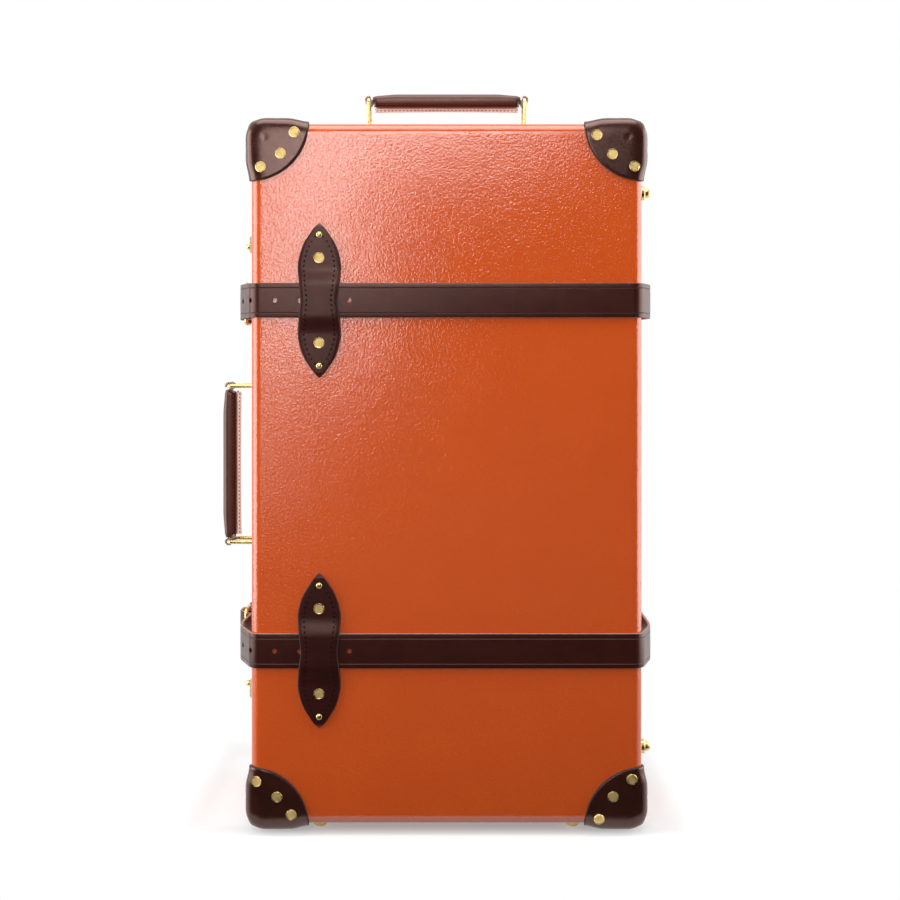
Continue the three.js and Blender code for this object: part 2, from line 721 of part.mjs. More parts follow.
// A round wire bent to a closed rounded rectangle in a plane across X
function wireLoop(length, height, bend, thickness) {
  const path = roundedRing(length / 2, height / 2, bend, 0, WIRE_STEPS);
  const rings = path.map((point, i) => {
    const before = path[(i + path.length - 1) % path.length];
    const after = path[(i + 1) % path.length];
    const along = after.clone().sub(before).normalize();
    const out = new THREE.Vector3(along.z, 0, -along.x);
    const ring = [];
    for (let k = 0; k < WIRE_SIDES; k += 1) {
      const angle = (k / WIRE_SIDES) * 2 * Math.PI;
      ring.push(point.clone()
        .addScaledVector(out, (thickness / 2) * Math.cos(angle))
        .add(new THREE.Vector3(0, (thickness / 2) * Math.sin(angle), 0)));
    }
    return ring;
  });
  return loft(rings, true).rotate([0, 0, 90]);
}

function buckleFrame(z) {
  const height = STRAP_WIDTH + 2 * BUCKLE_SIDE_ROOM + BUCKLE_WIRE;
  return wireLoop(BUCKLE_LENGTH, height, BUCKLE_BEND, BUCKLE_WIRE)
    .translate([BUCKLE_X, (BUCKLE_BAR_Y + BUCKLE_FAR_Y) / 2, z]);
}

// The prong has an eye round the bar, and its tip lies on the far bar
function prong(z) {
  const thick = around(0, PRONG_WIDTH);
  const eye = BUCKLE_WIRE + 2 * RUNNING_GAP;
  const reach = BUCKLE_LENGTH + PRONG_TIP;
  const slope = Math.atan2(PRONG_RISE, reach);
  const arm = boxBetween([-PRONG_THICKNESS / 2, PRONG_THICKNESS / 2], [-reach, 0], thick);
  return arm
    .rotate([0, 0, -THREE.MathUtils.radToDeg(slope)])
    .add(barAlongZ(eye + 2 * PRONG_THICKNESS / 2, thick, 0, 0, ROUND_SIDES))
    .subtract(barAlongZ(eye, [thick[0] - OVERRUN, thick[1] + OVERRUN], 0, 0, ROUND_SIDES))
    .translate([BUCKLE_X, BUCKLE_BAR_Y, z]);
}

// Handles, in a frame whose X runs along the handle and whose Z stands off the case
function handleLoop(x, height) {
  const arm = height - HANDLE_PIVOT_HEIGHT;
  return wireLoop(HANDLE_LOOP_WIDTH, arm, HANDLE_BEND, HANDLE_WIRE)
    .translate([x, 0, HANDLE_PIVOT_HEIGHT + arm / 2]);
}

function handleMount(x) {
  const barrel = HANDLE_WIRE + 2 * RUNNING_GAP + 2 * HANDLE_BARREL_WALL;
  const length = around(0, HANDLE_BARREL_LENGTH);
  const plateTop = FIT_GAP + HANDLE_PLATE_THICKNESS;
  const plate = loft([
    [FIT_GAP, 0],
    [plateTop - HANDLE_PLATE_THICKNESS / 2, 0],
    [plateTop, HANDLE_PLATE_THICKNESS / 2],
  ].map(([height, shrink]) => roundedRing(
    HANDLE_PLATE_LENGTH / 2 - shrink,
    HANDLE_PLATE_WIDTH / 2 - shrink,
    HANDLE_PLATE_LENGTH / 4,
    height,
  ).map(({ x: across, y, z }) => new THREE.Vector3(across, z, y))));
  const web = [plateTop - HANDLE_PLATE_THICKNESS / 2, HANDLE_PIVOT_HEIGHT];
  const through = [length[0] - OVERRUN, length[1] + OVERRUN];
  return plate
    .add(barAlongY(barrel, length, 0, HANDLE_PIVOT_HEIGHT))
    .add(boxBetween(around(0, barrel), length, web))
    .subtract(barAlongY(HANDLE_WIRE + 2 * RUNNING_GAP, through, 0, HANDLE_PIVOT_HEIGHT))
    .translate([x, 0, 0]);
}

// The grip swells from the leather round each bar to its full height within a short ease
function handleGrip(height) {
  const end = HANDLE_SPAN / 2 + GRIP_END_RADIUS;
  const section = (x, above, below, width) => {
    const half = (above + below) / 2;
    const radius = Math.min(half, width / 2) * GRIP_ROUNDING_SHARE;
    return roundedRing(width / 2, half, radius, 0, GRIP_STEPS)
      .map(({ x: y, z }) => new THREE.Vector3(x, y, height + (above - below) / 2 + z));
  };
  const tip = GRIP_END_RADIUS / 2;
  const shoulder = GRIP_END_RADIUS * GRIP_ROUNDING_SHARE;
  const swell = end - GRIP_END_RADIUS;
  const halfBelow = (GRIP_END_RADIUS + GRIP_BELOW) / 2;
  const run = (side) => [
    section(side * end, tip, tip, GRIP_END_WIDTH),
    section(side * (end - GRIP_END_RADIUS / 4), shoulder, shoulder, GRIP_END_WIDTH),
    section(side * swell, GRIP_END_RADIUS, GRIP_END_RADIUS, GRIP_END_WIDTH),
    section(side * (swell - GRIP_EASE / 2), GRIP_ABOVE, halfBelow, GRIP_WIDTH),
    section(side * (swell - GRIP_EASE), GRIP_ABOVE, GRIP_BELOW, GRIP_WIDTH),
  ];
  let grip = loft([...run(-1), ...run(1).reverse()]);
  for (const x of [-HANDLE_SPAN / 2, HANDLE_SPAN / 2]) {
    const through = around(0, GRIP_WIDTH + 2 * OVERRUN);
    grip = grip.subtract(barAlongY(HANDLE_WIRE + 2 * RUNNING_GAP, through, x, height));
  }
  return grip;
}

function addHandle(prefix, ends, height, holder) {
  ends.forEach((end, i) => {
    const x = (i - 0.5) * HANDLE_SPAN;
    addPiece(`${prefix}_mount_${end}`, handleMount(x), brass, holder);
    addPiece(`${prefix}_loop_${end}`, handleLoop(x, height), brass, holder);
  });
  addPiece(`${prefix}_grip`, handleGrip(height), leather, holder);
  suitcase.add(holder);
}

// Feet
function foot() {
  const profile = [new THREE.Vector2(0, FIT_GAP), new THREE.Vector2(FOOT_FLANGE / 2, FIT_GAP)];
  profile.push(new THREE.Vector2(FOOT_FLANGE / 2, FIT_GAP + FOOT_FLANGE_THICKNESS / 2));
  const low = FIT_GAP + FOOT_FLANGE_THICKNESS;
  for (let i = 0; i <= EDGE_STEPS + 1; i += 1) {
    const angle = (i / (EDGE_STEPS + 1)) * Math.PI / 2;
    const flat = FOOT_FLAT / 2;
    profile.push(new THREE.Vector2(
      flat + (FOOT_DIAMETER / 2 - flat) * Math.cos(angle),
      low + (FOOT_HEIGHT - low) * Math.sin(angle),
    ));
  }
  profile.push(new THREE.Vector2(0, FOOT_HEIGHT));
  return toSolid(new THREE.LatheGeometry(profile, ROUND_SIDES));
}

// A holder for pieces on one long side: X runs along the depth, Y up, Z stands off the case
function sideHolder(side, y, z) {
  const holder = new THREE.Group();
  const out = new THREE.Vector3(side, 0, 0);
  const up = new THREE.Vector3(0, 0, 1);
  const basis = new THREE.Matrix4().makeBasis(up.clone().cross(out), up, out);
  holder.quaternion.setFromRotationMatrix(basis);
  holder.position.set(side * HALF_WIDTH, y, z);
  suitcase.add(holder);
  return holder;
}

// Hinges: X is positive on the base side, and the knuckles take turns along Y
const KNUCKLE_LENGTH = HINGE_LENGTH / KNUCKLES;

function hingeLeaf(side, first) {
  const top = FIT_GAP + HINGE_LEAF_THICKNESS;
  const clear = HINGE_BARREL / 2 + RUNNING_GAP;
  const plateX = side > 0 ? [clear, HINGE_LEAF] : [-HINGE_LEAF, -clear];
  let leaf = boxBetween(plateX, around(0, HINGE_LENGTH), [FIT_GAP, top]);
  for (let i = first; i < KNUCKLES; i += 2) {
    const low = -HINGE_LENGTH / 2 + i * KNUCKLE_LENGTH + FIT_GAP / 2;
    const knuckle = [low, low + KNUCKLE_LENGTH - FIT_GAP];
    const tab = side > 0 ? [FIT_GAP, clear + FIT_GAP] : [-clear - FIT_GAP, -FIT_GAP];
    leaf = leaf
      .add(barAlongY(HINGE_BARREL, knuckle, 0, HINGE_AXIS_HEIGHT))
      .add(boxBetween(tab, knuckle, [FIT_GAP, top]));
  }
  return leaf;
}

function hingeLeafBase() {
  const pin = around(0, HINGE_LENGTH - FIT_GAP);
  return hingeLeaf(1, 0).add(barAlongY(HINGE_PIN, pin, 0, HINGE_AXIS_HEIGHT));
}

function hingeLeafLid() {
  const bore = HINGE_PIN + 2 * RUNNING_GAP;
  return hingeLeaf(-1, 1).subtract(barAlongY(bore, around(0, HINGE_LENGTH), 0, HINGE_AXIS_HEIGHT));
}

function addHinge(name, z) {
  const holder = sideHolder(1, SPLIT_Y, z);
  addPiece(`hinge_leaf_base_${name}`, hingeLeafBase(), brass, holder);
  addPiece(`hinge_leaf_lid_${name}`, hingeLeafLid(), brass, holder);
}

// Locks: X is positive on the lid side
function lockBody() {
  const x = [-LOCK_SETBACK - LOCK_LENGTH, -LOCK_SETBACK];
  const middle = (x[0] + x[1]) / 2;
  const ring = (height, shrink) => roundedRing(
    LOCK_LENGTH / 2 - shrink,
    LOCK_WIDTH / 2 - shrink,
    LOCK_ROUNDING,
    height,
  ).map(({ x: along, y, z: across }) => new THREE.Vector3(middle + along, across, y));
  const block = loft([
    ring(FIT_GAP, 0),
    ring(LOCK_HEIGHT - LOCK_ROUNDING / 2, 0),
    ring(LOCK_HEIGHT, LOCK_ROUNDING / 2),
  ]);
  const slideMiddle = -SLIDE_SETBACK - SLIDE_LENGTH / 2;
  const floor = LOCK_HEIGHT - SLIDE_STEM_DEPTH - RUNNING_GAP;
  const slideSlot = boxBetween(
    around(slideMiddle, SLIDE_STEM + 2 * RUNNING_GAP),
    [-SLIDE_STEM / 2 - RUNNING_GAP, SLIDE_STEM / 2 + SLIDE_TRAVEL + RUNNING_GAP],
    [floor, LOCK_HEIGHT + OVERRUN],
  );
  const notch = boxBetween(
    [-TONGUE_SETBACK - TONGUE_LENGTH - TONGUE_CLEARANCE, OVERRUN],
    around(0, TONGUE_WIDTH + 2 * TONGUE_CLEARANCE),
    [LOCK_HEIGHT - TONGUE_DEPTH - TONGUE_CLEARANCE, LOCK_HEIGHT + OVERRUN],
  );
  return block.subtract(slideSlot).subtract(notch);
}

function lockSlide() {
  const middle = -SLIDE_SETBACK - SLIDE_LENGTH / 2;
  const low = LOCK_HEIGHT + FIT_GAP;
  const ridge = SLIDE_HEIGHT / 2;
  return boxBetween(around(middle, SLIDE_LENGTH), around(0, SLIDE_WIDTH), [low, low + ridge])
    .add(boxBetween(around(middle, SLIDE_LENGTH), around(0, SLIDE_WIDTH / 2), [low, low + SLIDE_HEIGHT]))
    .add(boxBetween(
      around(middle, SLIDE_STEM),
      around(0, SLIDE_STEM),
      [LOCK_HEIGHT - SLIDE_STEM_DEPTH, low + ridge],
    ));
}

function haspPlate() {
  const top = FIT_GAP + HASP_THICKNESS / 2;
  const outer = (LOCK_WIDTH - HASP_WIDTH) / 2 - FIT_GAP;
  const length = [HASP_PLATE_MARGIN, HASP_REACH + HASP_PLATE_MARGIN];
  let plate = boxBetween(length, around(0, LOCK_WIDTH), [FIT_GAP, top]);
  for (const side of [-1, 1]) {
    const middle = side * (LOCK_WIDTH / 2 - outer / 2);
    const ear = around(middle, outer);
    plate = plate
      .add(barAlongY(HASP_BARREL, ear, HASP_REACH, HASP_AXIS_HEIGHT))
      .add(boxBetween(around(HASP_REACH, HASP_BARREL), ear, [FIT_GAP, HASP_AXIS_HEIGHT]));
  }
  return plate.add(barAlongY(HASP_PIN, around(0, LOCK_WIDTH), HASP_REACH, HASP_AXIS_HEIGHT));
}

// A ball knob on a short neck, by which the hasp is lifted
function haspKnob(low, top) {
  const middle = top - HASP_KNOB_DIAMETER / 2;
  const ball = new THREE.SphereGeometry(HASP_KNOB_DIAMETER / 2, KNOB_SIDES, KNOB_SIDES / 2);
  return barAlongZ(HASP_KNOB_NECK, [low, middle], HASP_KNOB_REACH, 0, KNOB_SIDES)
    .add(toSolid(ball.translate(HASP_KNOB_REACH, 0, middle)));
}

// The hasp goes from its knuckle up over the lock body and ends in a thumb tab
function hasp() {
  const under = LOCK_HEIGHT + FIT_GAP;
  const top = under + HASP_THICKNESS;
  const rise = HASP_REACH - HASP_BARREL;
  const end = -HASP_OVERLAP;
  const outline = [
    [HASP_REACH, HASP_AXIS_HEIGHT - HASP_THICKNESS / 2],
    [HASP_REACH, HASP_AXIS_HEIGHT + HASP_BARREL / 2],
    [rise, top],
    [end, top],
    [end - HASP_TAB, top + HASP_TAB_RISE],
    [end - HASP_TAB, top + HASP_TAB_RISE - HASP_THICKNESS],
    [end, under],
    [rise - HASP_THICKNESS, under],
    [HASP_REACH - HASP_BARREL / 2, HASP_AXIS_HEIGHT - HASP_THICKNESS / 2],
  ].map(([x, height]) => new THREE.Vector2(x, height));
  const shape = new THREE.Shape(outline);
  const bar = new THREE.ExtrudeGeometry(shape, { depth: HASP_WIDTH, bevelEnabled: false });
  bar.rotateX(Math.PI / 2).translate(0, HASP_WIDTH / 2, 0);
  const tongue = boxBetween(
    [-TONGUE_SETBACK - TONGUE_LENGTH, -TONGUE_SETBACK],
    around(0, TONGUE_WIDTH),
    [LOCK_HEIGHT - TONGUE_DEPTH, top],
  );
  const boreSize = HASP_PIN + 2 * RUNNING_GAP;
  const bore = barAlongY(boreSize, around(0, LOCK_WIDTH), HASP_REACH, HASP_AXIS_HEIGHT);
  return toSolid(bar)
    .add(barAlongY(HASP_BARREL, around(0, HASP_WIDTH), HASP_REACH, HASP_AXIS_HEIGHT))
    .subtract(bore)
    .add(tongue)
    .add(haspKnob(under, top + HASP_KNOB_RISE));
}

function addLock(name, z) {
  const holder = sideHolder(-1, SPLIT_Y, z);
  addPiece(`lock_body_${name}`, lockBody(), brass, holder);
  addPiece(`lock_slide_${name}`, lockSlide(), brass, holder);
  addPiece(`hasp_plate_${name}`, haspPlate(), brass, holder);
  addPiece(`hasp_${name}`, hasp(), brass, holder);
}

// Assembly
addPiece('base_shell', baseShell(), fibreboard);
addPiece('valance', valance(), fibreboard);
addPiece('lid_shell', lidShell(), fibreboard);

for (const [depth, sideY] of [['front', -1], ['rear', 1]]) {
  for (const [side, sideX] of [['left', -1], ['right', 1]]) {
    for (const [level, sideZ] of [['top', 1], ['bottom', -1]]) {
      addPiece(`${depth}_corner_${level}_${side}`, leatherCorner(sideX, sideY, sideZ), leather);
    }
  }
}

for (const [level, offset] of [['upper', UPPER_STRAP_OFFSET], ['lower', LOWER_STRAP_OFFSET]]) {
  const z = BODY_MIDDLE + offset;
  addPiece(`front_keeper_${level}`, keeper(-1, z), leather);
  addPiece(`rear_keeper_${level}`, keeper(1, z), leather);
  addPiece(`strap_front_${level}`, strapFront(z), leather);
  addPiece(`strap_back_${level}`, strapBack(z), leather);
  addPiece(`buckle_frame_${level}`, buckleFrame(z), brass);
  addPiece(`buckle_prong_${level}`, prong(z), brass);
}

const topHandle = new THREE.Group();
topHandle.position.set(0, HANDLE_Y, BODY_TOP);
addHandle('top_handle', ['left', 'right'], TOP_HANDLE_HEIGHT, topHandle);

const sideHandle = new THREE.Group();
sideHandle.position.set(-HALF_WIDTH, HANDLE_Y, BODY_MIDDLE);
sideHandle.rotation.y = -Math.PI / 2;
addHandle('side_handle', ['lower', 'upper'], SIDE_HANDLE_HEIGHT, sideHandle);

for (const [side, sideX] of [['left', -1], ['right', 1]]) {
  const mesh = addPiece(`bottom_foot_${side}`, foot(), brass);
  mesh.rotation.x = -Math.PI / 2;
  mesh.position.set(sideX * (HALF_WIDTH - FOOT_INSET), FOOT_SETBACK - HALF_DEPTH, FOOT_HEIGHT);
}

for (const [depth, sideY] of [['front', -1], ['rear', 1]]) {
  for (const [level, sideZ] of [['lower', -1], ['upper', 1]]) {
    const mesh = addPiece(`side_foot_${depth}_${level}`, foot(), brass);
    mesh.rotation.z = -Math.PI / 2;
    const y = sideY * (HALF_DEPTH - FOOT_SETBACK);
    mesh.position.set(HALF_WIDTH, y, BODY_MIDDLE + sideZ * (BODY_HEIGHT / 2 - FOOT_INSET));
  }
}

for (const [side, x] of wheelXs) {
  addPiece(`wheel_well_${side}`, wheelWell(x), plastic);
  addPiece(`wheel_${side}`, wheel(x), rubber);
}

addPiece('trolley_housing', trolleyHousing(), aluminium);
addPiece('trolley_bow', trolleyBow(), plastic);
addPiece('trolley_button', trolleyButton(), brass);

addHinge('lower', BODY_MIDDLE - HINGE_OFFSET);
addHinge('upper', BODY_MIDDLE + HINGE_OFFSET);
addLock('lower', BODY_MIDDLE - LOCK_OFFSET);
addLock('upper', BODY_MIDDLE + LOCK_OFFSET);

// The origin is the bottom centre of the box round the whole case
const whole = new THREE.Box3().setFromObject(suitcase);
const centre = whole.getCenter(new THREE.Vector3());
suitcase.position.set(-centre.x, -centre.y, -whole.min.z);

export default suitcase;
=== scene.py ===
# Looks of a wheeled fibreboard suitcase: lacquered trays, stitched leather, brass and linings.
# Metres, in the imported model's own frame. Places are given from the middle of the case's body.

import json
import math

import bmesh
import bpy
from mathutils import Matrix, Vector

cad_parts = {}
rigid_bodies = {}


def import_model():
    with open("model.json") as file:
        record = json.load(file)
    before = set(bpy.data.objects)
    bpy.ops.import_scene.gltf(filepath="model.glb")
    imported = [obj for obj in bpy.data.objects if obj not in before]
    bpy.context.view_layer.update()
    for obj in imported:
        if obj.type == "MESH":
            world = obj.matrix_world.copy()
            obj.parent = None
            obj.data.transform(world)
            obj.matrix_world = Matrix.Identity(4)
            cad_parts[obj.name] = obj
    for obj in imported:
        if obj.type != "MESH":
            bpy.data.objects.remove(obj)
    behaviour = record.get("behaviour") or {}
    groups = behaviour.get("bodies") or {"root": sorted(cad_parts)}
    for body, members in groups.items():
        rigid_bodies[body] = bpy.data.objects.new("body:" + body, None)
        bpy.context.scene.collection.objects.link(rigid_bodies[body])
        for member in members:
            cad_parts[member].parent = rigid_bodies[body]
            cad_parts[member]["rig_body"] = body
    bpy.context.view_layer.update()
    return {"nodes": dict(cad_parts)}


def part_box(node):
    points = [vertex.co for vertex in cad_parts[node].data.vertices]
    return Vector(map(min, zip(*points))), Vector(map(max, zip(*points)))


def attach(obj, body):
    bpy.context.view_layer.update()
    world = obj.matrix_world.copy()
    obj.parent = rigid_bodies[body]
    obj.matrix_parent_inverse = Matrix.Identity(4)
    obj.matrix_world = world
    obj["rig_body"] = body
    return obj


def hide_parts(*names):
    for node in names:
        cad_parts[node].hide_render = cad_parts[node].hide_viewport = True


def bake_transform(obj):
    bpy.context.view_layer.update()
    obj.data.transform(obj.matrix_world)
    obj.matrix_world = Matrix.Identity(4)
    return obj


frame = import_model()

MM = 0.001

# The body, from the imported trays
BOTTOM_DROP = 3 * MM
LID_LOW, LID_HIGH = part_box("lid_shell")
LID_LOW = LID_LOW - Vector((0, 0, BOTTOM_DROP))
BASE_LOW, BASE_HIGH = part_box("base_shell")
CENTRE = Vector((LID_LOW.x + LID_HIGH.x, LID_LOW.y + BASE_HIGH.y, LID_LOW.z + LID_HIGH.z)) / 2
HALF = Vector((LID_HIGH.x - LID_LOW.x, BASE_HIGH.y - LID_LOW.y, LID_HIGH.z - LID_LOW.z)) / 2
SPLIT_Y = BASE_LOW.y - CENTRE.y
EDGE_RADIUS = 11 * MM
CORNER_EXTRA = 5 * MM
SMALLEST_CORNER = 0.5 * MM
WALL = 2.6 * MM
RIM_ROUNDING = 0.6 * MM
FIT_GAP = 0.3 * MM
EDGE_STEPS = 10
CORNER_STEPS = 12

# Leather corners. Their front rivets are placed across and along the face, by the corner's side in x and z.
CAP_REACH = 63.5 * MM
CAP_LEATHER = 3 * MM
CAP_BULGE = 5.4 * MM
CAP_BULGE_REACH = 15 * MM
CAP_BULGE_FADE = CAP_REACH / 3
CAP_ROUNDING = 0.8 * MM
CAP_ROWS = 20
CAP_COLUMNS = 14
CAP_SIDE_RIVET = 33 * MM
CAP_RIVET_PLACES_MM = {
    (-1, 1): [(48.1, 10.9), (33.2, 33.9), (11.5, 48.6)],
    (1, 1): [(50.3, 13.9), (33.5, 34.6), (9.7, 47.8)],
    (-1, -1): [(44.8, 12.6), (29.3, 32), (7.7, 48.7)],
    (1, -1): [(47.8, 8.7), (32.7, 32.2), (12.3, 51)],
}

# Rivets and stitches. Profiles are shares of a head's radius and height.
RIVET_RADIUS = 6 * MM
RIVET_HEIGHT = 1.3 * MM
RIVET_EDGE = [(0, -1), (0.9, -1), (1, 0.2), (0.985, 0.7), (0.93, 1), (0.84, 1), (0.776, 0.8)]
RIVET_FACE = [(0, 0.6), (0.792, 0.6), (0.76, 0.8154), (0.4, 0.8462), (0, 0.8615)]
STUD_RADIUS = 3.4 * MM
STUD_HEIGHT = 2.2 * MM
STUD_DOME = 0.8
STITCH_STATIONS = (-1, -0.8, -0.4, 0, 0.4, 0.8, 1)
STITCH_SIDES = 8
STITCH_LEAST_SWELL = 0.02
STITCH_HEIGHT = 0.7
STITCH_DIP = 0.4

# Straps, in plan
STRAP_THICKNESS = 3.4 * MM
STRAP_BEND_SHARE = 0.62
STRAP_EASE_SHARE = 0.21
STRAP_ROUNDING = 0.6 * MM
STRAP_CLEARANCE = 0.8 * MM
STRAP_STEP = 3 * MM
STRAP_LEAST_STEP = STRAP_STEP / 8
STRAP_JOIN = 30 * MM
TURN_STEPS = 14
RIGHT_BOW = 13 * MM
LEFT_BOW = 16 * MM
CREASE_INSET = 5.2 * MM
CREASE_WIDTH = 1.3 * MM
CREASE_DEPTH = 0.5 * MM
CREASE_FLOOR = 0.2
HOLE_RADIUS = 2.8 * MM
HOLE_PITCH = 27 * MM
HOLE_COUNT = 6
FIRST_HOLE_X = -105.2 * MM
BUCKLE_WIRE = 4.4 * MM
BUCKLE_BEND = 5 * MM
BUCKLE_LENGTH = 28 * MM
FOLD_LENGTH = 6 * MM
TAIL_OVERLAP = 44 * MM
TAIL_TIP = 14 * MM
LOOP_SETBACK = 26 * MM
LOOP_WIDTH = 9 * MM
LOOP_LEATHER = 2.4 * MM
LOOP_BEND = 2.5 * MM
LOOP_BEND_STEPS = 6
LOOP_SECTION = [(-1, -1), (0.7, -1), (1, -0.85), (1.15, 0), (1, 0.85), (0.7, 1), (-1, 1)]
PRONG_SLOT_LENGTH = 16 * MM
PRONG_SLOT_WIDTH = 5.2 * MM
PRONG_HOLE_SHARE = 0.45

# Keepers. The last two lists give places across a keeper and how thick the leather is there.
KEEPER_X = -138 * MM
KEEPER_LENGTH = 167 * MM
KEEPER_WIDTH = 46.7 * MM
KEEPER_LEATHER = 3.2 * MM
KEEPER_RAMP = 22 * MM
KEEPER_STATIONS = 48
KEEPER_STATION_SHARES = [0, 0.2, 0.46, 0.61, 0.69, 0.765, 0.84, 0.92, 1]
KEEPER_WIDTH_SHARES = [0.86, 0.93, 1, 0.9, 0.8, 0.675, 0.5, 0.3, 0.04]
KEEPER_ACROSS = [-1, -0.985, -0.95, -0.8, -0.5, 0, 0.5, 0.8, 0.95, 0.985, 1]
KEEPER_HEIGHTS = [0.55, 0.86, 1, 1.05, 1.1, 1.12, 1.1, 1.05, 1, 0.86, 0.55]
KEEPER_LEAST_WIDTH = 0.02
KEEPER_END_THICKNESS = 0.35
KEEPER_END_RISE = 14
KEEPER_RIVET_HEIGHT = 1.1
KEEPER_RIVET_PLACE = 46 * MM
KEEPER_STUD_PLACE = 71 * MM
KEEPER_SEAM_INSET = 7.5 * MM
KEEPER_SEAM_END = KEEPER_STUD_PLACE - 2 * MM
KEEPER_SEAM_LEAST_X = 3 * MM
KEEPER_SEAM_HEIGHT = 1.08
KEEPER_SEAM_PROBE = 0.02
KEEPER_SEAM_FIT = 0.9
KEEPER_STITCH_PITCH = 5.3 * MM
KEEPER_STITCH = (2.9 * MM, 1.9 * MM)

# Handles: heights are from the pivot line of the grip's bars
HANDLE_WIRE = 4.5 * MM
HANDLE_BEND = 4.5 * MM
GRIP_SPAN = 182 * MM
GRIP_CURL_RADIUS = 4.6 * MM
GRIP_CURL_LEATHER = 1.6 * MM
GRIP_CURL_START = 110
GRIP_CURL_TURN = 290
GRIP_CURL_STEPS = 24
GRIP_ABOVE = 7 * MM
GRIP_CROWN = 7.6 * MM
GRIP_CROWN_EASE = 30 * MM
GRIP_BODY_BELOW = 8.5 * MM
GRIP_END_BELOW = GRIP_CURL_RADIUS * 0.4
GRIP_WIDTH = 27 * MM
GRIP_END_WIDTH = 24 * MM
GRIP_EASE = 5 * MM
GRIP_SIDES = 28
GRIP_STATIONS = 30
GRIP_ROUNDNESS_ACROSS = 0.62
GRIP_ROUNDNESS_UP = 0.7
FLANGE_BELOW = 12.9 * MM
FLANGE_THICKNESS = 3.6 * MM
FLANGE_ARCH = 0.8 * MM
FLANGE_TUCK = 1.5 * MM
FLANGE_CHAMFER = 0.8 * MM
FLANGE_STATIONS = 20
WELT_INSET = 3.2 * MM
WELT_RISE = 1.2 * MM
WELT_WIDE = 1.6 * MM
WELT_THICK = 1 * MM
WELT_SIDES = 8
GRIP_STITCH_PITCH = 4.4 * MM
FLANGE_STITCH = (2.6 * MM, 1 * MM)
FLANGE_STITCH_RISE = 1.6 * MM
BODY_STITCH = (2.6 * MM, 0.9 * MM)
BODY_STITCH_RISE = 3.4 * MM
BODY_STITCH_INSET = 0.55 * MM

# Feet and wheels
FOOT_FLANGE = 1.8 * MM
FOOT_DOME_SHARE = 0.83
FOOT_FLAT_SHARE = 0.42
FOOT_STEP = 0.6 * MM
FOOT_FLANGE_TOP = 0.96
FOOT_FLANGE_SIDE = 0.6
FOOT_ROUND_HEIGHT = 0.99
FOOT_STEPS = 10
FOOT_SIDES = 32
SIDE_FOOT_HEIGHT = 13.1 * MM
SIDE_FOOT_RADIUS = 5.5 * MM
SIDE_COLLAR_HEIGHT = 6.4 * MM
SIDE_COLLAR_RADIUS = 8 * MM
COLLAR_CHAMFER = 0.8 * MM
HUB_SHARE = 0.62
WHEEL_BORE = 3.5 * MM
WHEEL_SIDES = 48
TYRE_GROOVE = 0.8 * MM

# Linings and small things
LINING_GAP = 0.4 * MM
LINING_THICKNESS = 0.8 * MM
LINING_TURN = 12 * MM
LINING_TURN_STEPS = 6
LINING_FLOOR_INSET = 15 * MM
LINING_PANEL_Y = 84 * MM
LID_LINING_LIFT = 2 * MM
LID_LINING_SETBACK = 9 * MM
BASE_LINING_SETBACK = 16 * MM
TUBE_SIZE = 14 * MM
TUBE_MARGIN = 3 * MM

# Meshes: counts of sides and steps, and angles in degrees
SIDES = 24
WIRE_SIDES = 14
WIRE_BEND_STEPS = 8
SHARP_ANGLE = 38
FLAT_ANGLE = 1
JOIN_DISTANCE = 0.002 * MM

# Camera and light. A lamp has a name, a place, a size and a power.
CAMERA_PLACE = Vector((17.1, -1514, 528)) * MM
CAMERA_LENS = 51.6
CAMERA_SHIFT = (0.003, -0.111)
CAMERA_SENSOR_MM = 36
CAMERA_CLIP = (0.05, 60)
LAMP_TARGET = Vector((0, 0, 0.5))
SOFTBOXES = [
    ("softbox_above", (-0.03, -1.5, 1.2), (0.6, 0.4), 5.1),
    ("softbox_left", (-0.28, -1.5, 0.77), (0.16, 0.56), 1.9),
    ("softbox_far_left", (-0.43, -1.5, 0.6), (0.14, 0.85), 0.85),
    ("rim_left", (-1, -0.3, 0.6), (0.8, 1.2), 11),
    ("rim_right", (1.05, 0, 0.6), (1, 1.2), 10),
    ("rim_above", (0, -0.35, 1.6), (1.4, 0.8), 13),
]
FILL = ("fill", (0, -1.9, 0.05), (1.2, 0.7), 6)
ROOM_LIGHT = 0.75
DARK_SIDE = (-0.65, -0.1)
DARK_SIDE_LIGHT = 0.045
FLOOR_REACH = 12
FLOOR_FRONT = -0.152
FLOOR_FRONT_FADE = (-0.148, -0.07)
FLOOR_BACK_FADE = (0.12, 0.35)
FLOOR_SIDE_FADE = (0.235, 0.33)
FLOOR_SHADE = (0.6, 0.6, 0.6)
FLOOR_GLOW = 0.3


# Shape building

